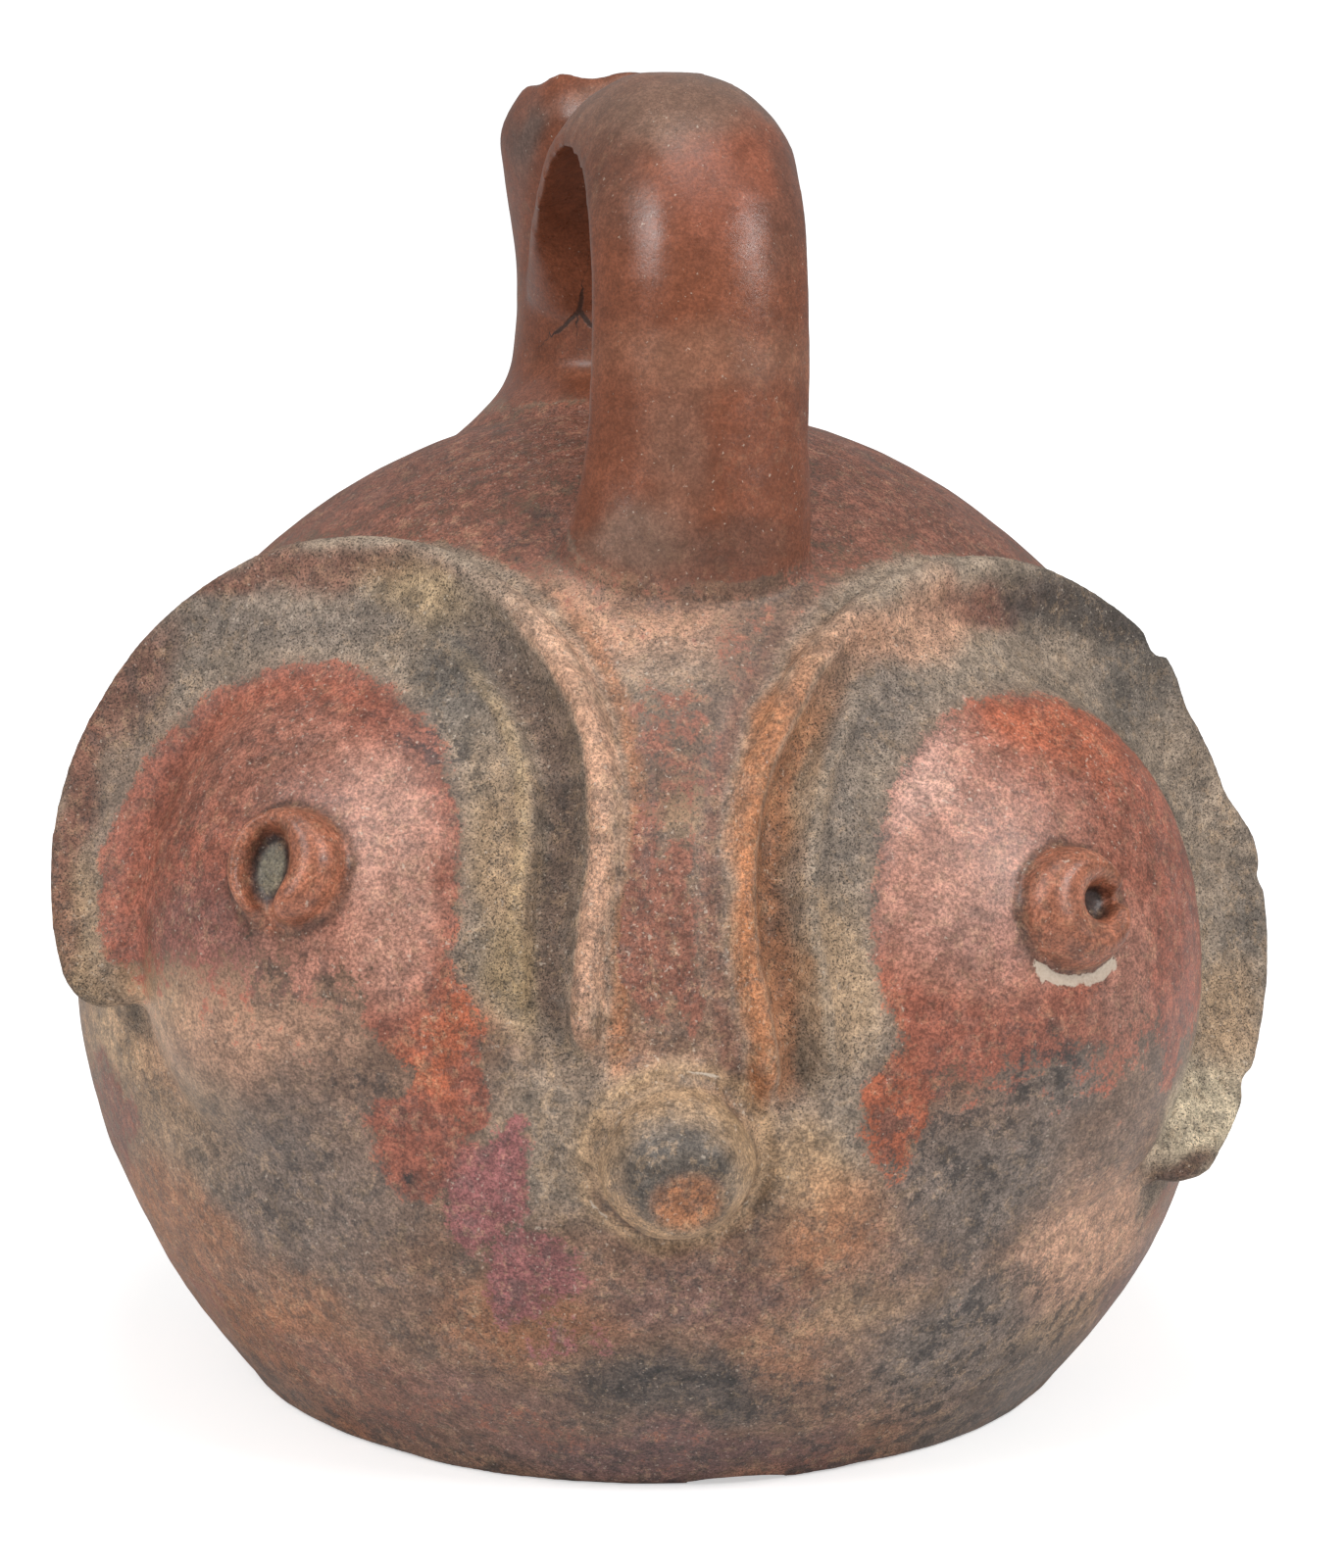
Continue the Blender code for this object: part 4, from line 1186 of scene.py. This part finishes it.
def photo_pixels(points):
    """Where each point in millimetres falls in the photograph."""
    place, right, up, ahead = camera_axes()
    offset = points - place
    depth = offset @ ahead
    return AIM_X + FOCAL_PIXELS * (offset @ right) / depth, AIM_Y - FOCAL_PIXELS * (offset @ up) / depth


def patch_weight(x, y, patch):
    middle_x, middle_y, half_width, half_height, tilt = patch[:5]
    turn = math.radians(tilt)
    across = (x - middle_x) * math.cos(turn) + (y - middle_y) * math.sin(turn)
    along = (y - middle_y) * math.cos(turn) - (x - middle_x) * math.sin(turn)
    return smooth_step(1.45 - np.hypot(across / half_width, along / half_height))


def laid_over(colour, tone, weight):
    """Each point's colour with a tone laid over it, as thick as its weight."""
    share = np.clip(weight, 0.0, 1.0)[:, None]
    return colour * (1.0 - share) + linear(tone) * share


def with_patches(colour, patches, x, y, where):
    for patch in patches:
        colour = laid_over(colour, patch[5], patch[6] * patch_weight(x, y, patch) * where)
    return colour


def dome_share(points, eye_name, middle, half_sizes):
    """1 well inside the painted oval of a dome, 0 well outside it, in steps of a millimetre at its edge."""
    x, y, _, _, height = eye_place(points, eye_name)
    reach = np.hypot((x - middle[0]) / half_sizes[0], (y - middle[1]) / half_sizes[1])
    inside = 0.5 + (1.0 - reach) * min(half_sizes) / 5.0
    return np.clip(inside, 0.0, 1.0) * (height > -FACE_DEPTH)


def disc_share(points, eye_name):
    """1 on the ring and the rim of a disc, also on its back, and 0 off it."""
    _, _, angle, radius, height = eye_place(points, eye_name)
    eye = EYES[eye_name]
    to_outer_end = (angle - eye["outer_angle"]) * np.sign(eye["nose_angle"] - eye["outer_angle"])
    to_nose_end = (eye["nose_angle"] - angle) * np.sign(eye["nose_angle"] - eye["outer_angle"])
    between = smooth_step(0.5 + to_outer_end / 10.0) * smooth_step(0.5 + to_nose_end / 10.0)
    inside = smooth_step((rim_radius(eye_name, angle) + 2.5 - radius) / 2.5)
    return inside * between * smooth_step((height + 16.0) / 6.0)


def strap_share(points):
    """1 on the strap and 0 off it."""
    path = np.array([strap_line(share)[0] for share in np.linspace(0.0, 0.93, 40)])
    away = np.min(np.linalg.norm(points[:, None, :] - path[None, :, :], axis=2), axis=1)
    off_body = np.linalg.norm(points - body_centre(), axis=1) - BODY_RADIUS
    return smooth_step((19.0 - away) / 3.0) * smooth_step((off_body - 1.0) / 3.0)


def spout_share(points):
    """1 on the spout above its flare and 0 off it."""
    away = np.hypot(points[:, 0] - SPOUT_X, points[:, 1] - SPOUT_Y)
    return smooth_step((26.0 - away) / 4.0) * smooth_step((points[:, 2] - 137.0) / 8.0)


def line_distance(x, y, lines):
    """Signed distance in pixels to the nearest of some short lines, large beyond their ends."""
    nearest = np.full(len(x), 1e3)
    for line in lines:
        for (ax, ay), (bx, by) in zip(line[:-1], line[1:]):
            length = math.hypot(bx - ax, by - ay)
            along = ((x - ax) * (bx - ax) + (y - ay) * (by - ay)) / length
            across = ((x - ax) * (by - ay) - (y - ay) * (bx - ax)) / length
            beyond = np.maximum(np.maximum(-along, along - length), 0.0)
            distance = across + np.where(across < 0.0, -2.0, 2.0) * beyond
            nearest = np.where(np.abs(distance) < np.abs(nearest), distance, nearest)
    return nearest


def band(value, low, high, fade):
    """1 between two bounds and 0 outside them."""
    return smooth_step((value - low) / fade + 0.5) * smooth_step((high - value) / fade + 0.5)


def with_channel_tones(points, eye_name, ground, speck):
    """Grime and painted shade in the channel on the nose side of a disc, with its rubbed rim and inner lip.
    """
    eye = EYES[eye_name]
    _, _, angle, radius, height = eye_place(points, eye_name)
    inset = rim_radius(eye_name, angle) - radius + 0.8 * layered_noise(points, 5.0, 511)
    along = nose_weight(eye, angle) * (height > -FACE_DEPTH) * (inset > -4.0)
    channel, lip, crest, rim = CHANNEL_TONES[eye_name]
    lip_at = eye["lip_inset"]
    start = CHANNEL_STARTS[eye_name]
    ground = laid_over(ground, channel, 0.75 * along * band(inset, start, lip_at - 1.6, 1.6))
    # Dark grime and painted shade along the channel's floor beside the inner lip
    grime_and_shade = CHANNEL_GRIME_AND_SHADE[eye_name] * along * band(inset, lip_at - 5.4, lip_at - 2.2, 2.0)
    ground = laid_over(ground, "dark brown", grime_and_shade)
    ground = laid_over(ground, lip, 0.6 * along * band(inset, lip_at - 0.9, lip_at + 0.9, 1.2))
    ground = laid_over(ground, crest, 0.9 * along * band(inset, -0.4, start - 0.6, 1.2))
    ground = laid_over(ground, rim, 0.6 * along * band(inset, -3.0, -0.9, 1.0))
    return ground, speck - 0.5 * along * band(inset, -1.0, 3.0, 1.0)


def with_pupil_tones(points, eye_name, slip, ground, cover, plaster):
    """The roll of a pupil with painted shade in the crease round it and in its hollow, and the plaster below
    the right one.
    """
    hole = PUPIL_HOLES[eye_name]
    foot, stand = pupil_place(eye_name)
    across, up = frame_axes(stand)
    offset = points - foot
    x, y, height = offset @ across, offset @ up, offset @ stand
    radius = np.hypot(x, y) + 0.5 * layered_noise(points, 3.0, 531)
    near = (np.abs(height) < 8.0).astype(float)
    roll = near * smooth_step((9.2 - radius) / 0.8)
    slip = laid_over(slip, "pupil", roll)
    cover = np.where(roll > 0.5, 0.8, cover)
    # Painted shade in the crease round the pupil's roll, on the slip and on the bare clay
    crease_shade = near * band(radius, 8.3, 9.6, 0.9)
    slip = laid_over(slip, "dark brown", 0.8 * crease_shade)
    ground = laid_over(ground, "dark brown", 0.8 * crease_shade)
    aside = (x - hole["across"]) / hole["half_width"]
    hollow = np.hypot(aside, (y - hole["up"]) / hole["half_height"])
    # Painted shade in the pupil's hollow; the left pupil's clay fill covers its middle below
    slip = laid_over(slip, "black", 0.9 * near * smooth_step((1.08 - hollow) / 0.25))
    if eye_name == "left":
        slip = laid_over(slip, "fill", near * smooth_step((0.78 - hollow) / 0.25))
    if eye_name == "right":
        turn = np.degrees(np.arctan2(y, x))
        torn = 0.75 + 0.7 * layered_noise(points, 2.4, 533)
        below = near * band(radius, 8.8, 10.6, 1.2) * band(turn, -150.0, -48.0, 24.0)
        plaster = np.maximum(plaster, below * torn)
    return slip, ground, cover, plaster


def with_beak_tones(points, ground, cover, plaster):
    """Pale flanks of the beak, its smoked top, its worn tip, painted shade round its foot, darker below, and
    the crack round its foot.
    """
    foot, across, up, outward = beak_place()
    offset = points - foot
    height = offset @ outward
    share = np.clip(height / BEAK_HEIGHT, 0.0, 1.0)
    x = offset @ across - BEAK_LEAN_ACROSS * share
    y = offset @ up - BEAK_LEAN_UP * share
    radius = np.hypot(x, y) + 0.8 * layered_noise(points, 4.0, 551)
    near = (height > -6.0) & (radius < 20.0)
    collar = near * band(radius, 10.5, 13.5, 2.5)
    ground = laid_over(ground, "tan", 0.8 * collar)
    flank = near * smooth_step((height - 0.5) / 1.5)
    ground = laid_over(ground, "tan", 0.8 * flank)
    smoked = flank * smooth_step(2.2 - 1.4 * np.hypot((x + 1.0) / 6.4, (y - 2.0) / 5.6))
    ground = laid_over(ground, "dark grey", 0.9 * smoked)
    tip = near * smooth_step(2.0 - 1.4 * np.hypot(x / 4.2, (y + 1.4) / 3.6))
    ground = laid_over(ground, "orange tan", 0.8 * tip * smooth_step((height - 6.0) / 2.0))
    # Painted shade round the foot of the beak, darker on its lower side
    foot_shade = near * band(radius, 10.4, 11.8, 1.2) * (0.35 + 0.65 * smooth_step(-y / 8.0))
    ground = laid_over(ground, "dark brown", 0.75 * foot_shade)
    crack = near * band(radius, 11.7, 12.5, 0.8) * smooth_step((3.0 - height) / 1.0)
    ragged = 0.3 + 0.9 * layered_noise(points, 4.0, 591)
    plaster = np.maximum(plaster, crack * np.clip(ragged, 0.0, 0.7))
    cover = np.where(near & (radius < 15.0), 0.06, cover)
    return ground, cover, plaster


def body_tones(points, x, y, clouds, mottle, front, off_body):
    """Tones of the bare clay and of the slip, the slip's cover, and where the shoulder's slip lies."""
    body_front = front * (1.0 - off_body)
    ground = np.tile(linear("warm brown"), (len(points), 1))
    ground = laid_over(ground, "grey brown", 0.5 + 0.9 * clouds)
    ground = laid_over(ground, "orange tan", 0.9 * (mottle - 0.1))
    ground = with_patches(ground, GROUND_PATCHES, x, y, body_front)
    slip = np.tile(linear("brown red"), (len(points), 1))
    slip = laid_over(slip, "handle red", off_body)
    cover = BACK_COVER + 0.42 * clouds + 0.2 * mottle
    cover = cover * (1.0 - body_front) + FRONT_COVER * body_front
    cover = np.maximum(cover, HANDLE_COVER * off_body)
    for patch in SLIP_PATCHES:
        weight = patch_weight(x, y, patch) * body_front
        slip = laid_over(slip, patch[5], 1.4 * weight)
        cover = np.maximum(cover, patch[6] * PATCH_COVER * weight)
    height = points[:, 2] + 16.0 * clouds - SHOULDER_SLIP_Z
    top = smooth_step(height / SHOULDER_SLIP_SPAN) * (1.0 - off_body)
    worn = 0.5 * front * smooth_step((y - 560.0) / 60.0)
    return ground, slip, np.maximum(cover, SHOULDER_COVER * top * (1.0 - worn)), top


def with_disc_tones(points, eye_name, x, y, front, off_body, ground, slip, cover):
    """Bare clay on a disc's ring and red paint on its dome, thinner at its foot, with both their shares."""
    dome = dome_share(points, eye_name, *PAINTED_OVALS[eye_name])
    ring = disc_share(points, eye_name) * (1.0 - dome) * (1.0 - off_body)
    ground = laid_over(ground, "grey brown", ring)
    ground = laid_over(ground, "grey tan", ring * front)
    ground = with_patches(ground, RING_PATCHES, x, y, ring * front)
    slip = laid_over(slip, "red", dome)
    slip = with_patches(slip, DOME_PATCHES, x, y, dome)
    lower = smooth_step((-eye_place(points, eye_name)[1] - 6.0) / 22.0)
    cover = np.maximum(cover * (1.0 - ring), dome * (0.86 - 0.62 * lower))
    return ground, slip, cover, ring, dome


def smoke_share(points, x, y, clouds, front, off_body):
    """Smoke clouds in front, softer ones behind, and darkening towards the base."""
    smoke = np.zeros(len(points))
    for patch in SMOKE_PATCHES:
        weight = patch_weight(x, y, patch) * (front * (1.0 - off_body))
        smoke = np.maximum(smoke, patch[5] * weight)
    smoke = np.maximum(smoke, (1.0 - front) * 0.5 * smooth_step(2.4 * clouds - 0.4))
    # Darker towards the base, all the way round
    return np.maximum(smoke, 0.3 * smooth_step((14.0 - points[:, 2]) / 10.0))


def clay_values(points, normals):
    """Colours and shares that the clay's material reads, for each point of the finished mesh."""
    away = direction(CAMERA_AZIMUTH, CAMERA_ELEVATION)
    front = smooth_step((normals @ away + 0.32) / 0.3)
    exact_x, exact_y = photo_pixels(points)
    x = exact_x + WANDER * layered_noise(points, WANDER_SIZE, 401, 4)
    y = exact_y + WANDER * layered_noise(points, WANDER_SIZE, 431, 4)
    clouds = layered_noise(points, CLOUD_SIZE, 451)
    mottle = layered_noise(points, MOTTLE_SIZE, 461)
    strap, spout = strap_share(points), spout_share(points)
    off_body = np.clip(strap + spout, 0.0, 1.0)

    ground, slip, cover, top = body_tones(points, x, y, clouds, mottle, front, off_body)
    matte = 0.35 + 0.2 * mottle
    speck = 0.42 + 0.3 * mottle
    paint = np.zeros(len(points))
    for eye_name in EYES:
        ground, slip, cover, ring, dome = with_disc_tones(
            points, eye_name, x, y, front, off_body, ground, slip, cover
        )
        matte = matte + 0.45 * ring - 0.1 * dome
        speck = speck + 0.5 * ring - 0.16 * dome
        paint = np.maximum(paint, dome)
    slip = with_patches(slip, STRAP_PATCHES, x, y, strap * front)
    slip = with_patches(slip, SPOUT_PATCHES, x, y, spout * front * (1.0 - strap))
    plaster = np.zeros(len(points))
    for eye_name in EYES:
        ground, speck = with_channel_tones(points, eye_name, ground, speck)
        slip, ground, cover, plaster = with_pupil_tones(points, eye_name, slip, ground, cover, plaster)
    ground, cover, plaster = with_beak_tones(points, ground, cover, plaster)

    crack = line_distance(0.8 * exact_x + 0.2 * x, 0.8 * exact_y + 0.2 * y, SPOUT_CRACKS)
    on_front = (spout > 0.3) & (front > 0.5) & (points[:, 1] > SPOUT_Y - 24.0)
    stain = 0.8 - 0.35 * paint - 0.75 * off_body + 0.3 * mottle - 0.3 * top
    matte = matte - 0.28 * off_body - 0.1 * paint
    pale = 0.25 + 0.35 * layered_noise(points, 20.0, 471) - 0.25 * off_body
    shares = {
        "cover": cover,
        "smoke": smoke_share(points, x, y, clouds, front, off_body),
        "matte": matte,
        "speck": speck * (1.0 - 0.75 * off_body),
        "stain": stain,
        "pale": pale,
    }
    values = {"ground": ground, "slip": slip, "plaster": plaster, "burnish": off_body}
    values["crack"] = np.where(on_front, crack, NO_CRACK)
    for name, share in shares.items():
        values[name] = np.clip(share, 0.0, 1.0)
    return values


def store_values(mesh, values):
    for name, data in values.items():
        if data.ndim == 2:
            attribute = mesh.attributes.new(name, "FLOAT_COLOR", "POINT")
            colours = np.concatenate([data, np.ones((len(data), 1))], axis=1)
            attribute.data.foreach_set("color", colours.astype(np.float32).ravel())
        else:
            attribute = mesh.attributes.new(name, "FLOAT", "POINT")
            attribute.data.foreach_set("value", data.astype(np.float32))


# Noises of the clay: features to the metre, detail, roughness and distortion
NOISES = {
    "broad": (150.0, 3.0, 0.6, 0.6),
    "blotch": (300.0, 7.0, 0.8, 0.0),
    "rubbed": (410.0, 7.0, 0.8, 0.0),
    "middle": (480.0, 5.0, 0.72, 0.0),
    "bright": (1500.0, 2.0, 0.6, 0.0),
    "fine": (2300.0, 4.0, 0.75, 0.0),
    "grain": (3600.0, 1.0, 0.5, 0.0),
}

# Colours of the pits and of the crack, which are darker than any tone
PIT_COLOUR = (0.035, 0.028, 0.024, 1.0)
CRACK_COLOUR = (0.03, 0.018, 0.014, 1.0)

# Offset that keeps the noises off the object's origin, in metres, and the depth of the bumps
NOISE_SHIFT = (0.37, 0.11, 0.53)
BUMP_DEPTH = 0.00045


class Shading:
    """Short names for the nodes of one material."""

    def __init__(self, material):
        self.tree = material.node_tree

    def node(self, kind, **settings):
        made = self.tree.nodes.new(kind)
        for name, value in settings.items():
            setattr(made, name, value)
        return made

    def feed(self, socket, source):
        if isinstance(source, (int, float, tuple)):
            socket.default_value = source
        else:
            self.tree.links.new(source, socket)

    def value(self, name):
        return self.node("ShaderNodeAttribute", attribute_name=name).outputs["Fac"]

    def colour(self, name):
        return self.node("ShaderNodeAttribute", attribute_name=name).outputs["Color"]

    def math(self, operation, first, second=0.0, third=0.0):
        made = self.node("ShaderNodeMath", operation=operation)
        for socket, source in zip(made.inputs, (first, second, third)):
            self.feed(socket, source)
        return made.outputs[0]

    def times(self, first, second):
        return self.math("MULTIPLY", first, second)

    def plus(self, first, second):
        return self.math("ADD", first, second)

    def scaled(self, source, factor, offset):
        return self.math("MULTIPLY_ADD", source, factor, offset)

    def steps(self, source, low, high, to_low=0.0, to_high=1.0):
        made = self.node("ShaderNodeMapRange", interpolation_type="SMOOTHSTEP")
        for socket, item in zip(made.inputs, (source, low, high, to_low, to_high)):
            self.feed(socket, item)
        return made.outputs[0]

    def mix(self, share, first, second, blend="MIX"):
        made = self.node("ShaderNodeMix", data_type="RGBA", blend_type=blend)
        self.feed(made.inputs[0], share)
        self.feed(made.inputs[6], first)
        self.feed(made.inputs[7], second)
        return made.outputs[2]

    def noise(self, place, name):
        made = self.node("ShaderNodeTexNoise")
        self.feed(made.inputs["Vector"], place)
        for socket, value in zip(("Scale", "Detail", "Roughness", "Distortion"), NOISES[name]):
            made.inputs[socket].default_value = value
        return made.outputs[0]


def clay_material():
    material = bpy.data.materials.new("Fired clay")
    material.use_nodes = True
    make = Shading(material)
    shader = material.node_tree.nodes["Principled BSDF"]
    place = make.node("ShaderNodeTexCoord").outputs["Object"]
    shifted = make.node("ShaderNodeVectorMath", operation="ADD")
    shifted.inputs[0].default_value = NOISE_SHIFT
    make.feed(shifted.inputs[1], place)
    place = shifted.outputs[0]

    broad = make.noise(place, "broad")
    middle = make.noise(place, "middle")
    fine = make.noise(place, "fine")
    grain = make.noise(place, "grain")

    cover = make.value("cover")
    ragged = make.scaled(middle, 1.05, -0.525)
    ragged = make.plus(ragged, make.scaled(fine, 0.7, -0.35))
    ragged = make.plus(ragged, make.scaled(broad, 0.6, -0.3))
    covered = make.steps(make.plus(cover, ragged), 0.4, 0.54)
    colour = make.mix(covered, make.colour("ground"), make.colour("slip"))

    stain = make.value("stain")
    blotch = make.steps(make.noise(place, "blotch"), 0.51, 0.56)
    stained = make.times(make.times(blotch, stain), 0.5)
    colour = make.mix(stained, colour, tone_value("dark grey"))
    rubbed = make.steps(make.noise(place, "rubbed"), 0.53, 0.58)
    colour = make.mix(make.times(make.times(rubbed, stain), 0.4), colour, tone_value("tan"))

    smoke = make.value("smoke")
    smoky = make.times(smoke, make.scaled(blotch, 1.3, 0.4))
    colour = make.mix(make.math("MINIMUM", smoky, 0.9), colour, tone_value("black"))

    light = make.steps(middle, 0.36, 0.66, 0.72, 1.26)
    light = make.times(light, make.steps(fine, 0.38, 0.62, 0.6, 1.38))
    light = make.times(light, make.steps(broad, 0.34, 0.66, 0.82, 1.18))
    calm = make.times(make.value("burnish"), 0.45)
    calm = make.scaled(calm, make.math("SUBTRACT", 1.0, light), light)
    colour = make.mix(1.0, colour, calm, "MULTIPLY")

    speck = make.value("speck")
    dark_at = make.scaled(speck, -0.13, 0.705)
    dark = make.steps(make.math("SUBTRACT", fine, dark_at), 0.0, 0.03)
    darker = make.steps(make.math("SUBTRACT", grain, dark_at), 0.0, 0.04)
    dark = make.times(make.math("MAXIMUM", dark, darker), make.steps(speck, 0.0, 0.6, 0.3, 0.75))
    colour = make.mix(dark, colour, PIT_COLOUR)

    pale = make.value("pale")
    bright = make.noise(place, "bright")
    bright = make.steps(make.plus(bright, make.times(pale, 0.16)), 0.69, 0.78, 0.0, 0.5)
    colour = make.mix(bright, colour, tone_value("plaster"))

    plaster = make.value("plaster")
    patched = make.steps(make.plus(plaster, make.scaled(fine, 0.6, -0.3)), 0.42, 0.56)
    soiled = make.steps(fine, 0.35, 0.7, 0.0, 0.5)
    patched_colour = make.mix(soiled, tone_value("plaster"), tone_value("grey tan"))
    colour = make.mix(make.times(patched, 0.9), colour, patched_colour)

    crack = make.math("ABSOLUTE", make.value("crack"))
    crack = make.steps(make.plus(crack, make.scaled(fine, 2.4, -1.2)), 1.3, 3.2, 1.0, 0.0)
    colour = make.mix(make.times(crack, 0.85), colour, CRACK_COLOUR)
    make.feed(shader.inputs["Base Color"], colour)

    matte = make.value("matte")
    rough = make.scaled(matte, 0.5, 0.3)
    rough = make.plus(rough, make.scaled(middle, 0.3, -0.15))
    rough = make.plus(rough, make.times(dark, 0.2))
    make.feed(shader.inputs["Roughness"], make.math("MINIMUM", rough, 0.95))
    shader.inputs["Specular IOR Level"].default_value = 0.42

    pits = make.scaled(dark, -0.5, 1.0)
    height = make.times(fine, 0.35)
    height = make.plus(height, make.times(middle, 0.6))
    height = make.plus(height, make.times(pits, 0.35))
    height = make.plus(height, make.times(crack, -1.2))
    bump = make.node("ShaderNodeBump")
    bump.inputs["Distance"].default_value = BUMP_DEPTH
    make.feed(bump.inputs["Strength"], make.scaled(matte, 0.75, 0.2))
    make.feed(bump.inputs["Height"], height)
    make.feed(shader.inputs["Normal"], bump.outputs[0])
    return material


def add_area(name, azimuth, elevation, distance, size, watts):
    away = direction(azimuth, elevation)
    data = bpy.data.lights.new(name, "AREA")
    data.shape = "DISK"
    data.size = size * MM
    data.energy = watts
    linked(name, data).matrix_world = placed(body_centre() + distance * away, away)


def add_camera():
    data = bpy.data.cameras.new("Camera")
    data.sensor_fit = "VERTICAL"
    data.sensor_height = SENSOR_MM
    data.lens = FOCAL_PIXELS * SENSOR_MM / PHOTO_HEIGHT
    data.shift_x = (0.5 * PHOTO_WIDTH - AIM_X) / PHOTO_HEIGHT
    data.shift_y = (AIM_Y - 0.5 * PHOTO_HEIGHT) / PHOTO_HEIGHT
    data.clip_start = 0.01
    data.clip_end = 100.0
    camera = linked("Camera", data)
    place, _, _, ahead = camera_axes()
    camera.matrix_world = placed(place, -ahead)
    bpy.context.scene.camera = camera


def add_studio():
    """The pale floor and the white surround, each bright to the camera alone, and the lamps."""
    reach = FLOOR_REACH
    corners = [(-reach, -reach, 0), (reach, -reach, 0), (reach, reach, 0), (-reach, reach, 0)]
    floor_mesh = mesh_from("Floor", corners, [(0, 1, 2, 3)])
    floor = linked("Floor", floor_mesh)
    material = bpy.data.materials.new("Pale floor")
    material.use_nodes = True
    shader = material.node_tree.nodes["Principled BSDF"]
    shader.inputs["Base Color"].default_value = (0.86, 0.86, 0.86, 1.0)
    shader.inputs["Roughness"].default_value = 0.9
    shader.inputs["Specular IOR Level"].default_value = 0.1
    shader.inputs["Emission Color"].default_value = (1.0, 1.0, 1.0, 1.0)
    make = Shading(material)
    away = make.node("ShaderNodeVectorMath", operation="LENGTH")
    make.feed(away.inputs[0], make.node("ShaderNodeTexCoord").outputs["Object"])
    glow = make.steps(away.outputs["Value"], *FLOOR_GLOW_SPAN, FLOOR_GLOW_NEAR, FLOOR_GLOW_FAR)
    seen = make.node("ShaderNodeLightPath").outputs["Is Camera Ray"]
    make.feed(shader.inputs["Emission Strength"], make.times(glow, seen))
    floor_mesh.materials.append(material)
    world = bpy.data.worlds.new("Studio")
    bpy.context.scene.world = world
    world.use_nodes = True
    background = world.node_tree.nodes["Background"]
    background.inputs["Color"].default_value = (1.0, 1.0, 1.0, 1.0)
    seen = world.node_tree.nodes.new("ShaderNodeLightPath")
    strength = world.node_tree.nodes.new("ShaderNodeMapRange")
    strength.inputs["To Min"].default_value = AMBIENT
    strength.inputs["To Max"].default_value = 1.0
    world.node_tree.links.new(seen.outputs["Is Camera Ray"], strength.inputs["Value"])
    world.node_tree.links.new(strength.outputs["Result"], background.inputs["Strength"])
    for light in LIGHTS:
        add_area(*light)
    scene = bpy.context.scene
    scene.view_settings.view_transform = "Standard"
    scene.view_settings.look = "None"


def build_scene():
    mesh = jar_mesh()
    mesh.name = "Owl_effigy_jar"
    for polygon in mesh.polygons:
        polygon.use_smooth = True
    jar = linked("Owl_effigy_jar", mesh)
    mesh.materials.clear()
    mesh.materials.append(clay_material())
    store_values(mesh, clay_values(mesh_points(mesh), mesh_normals(mesh)))
    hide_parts("owl_effigy_jar")
    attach(jar, "root")
    add_camera()
    add_studio()


build_scene()
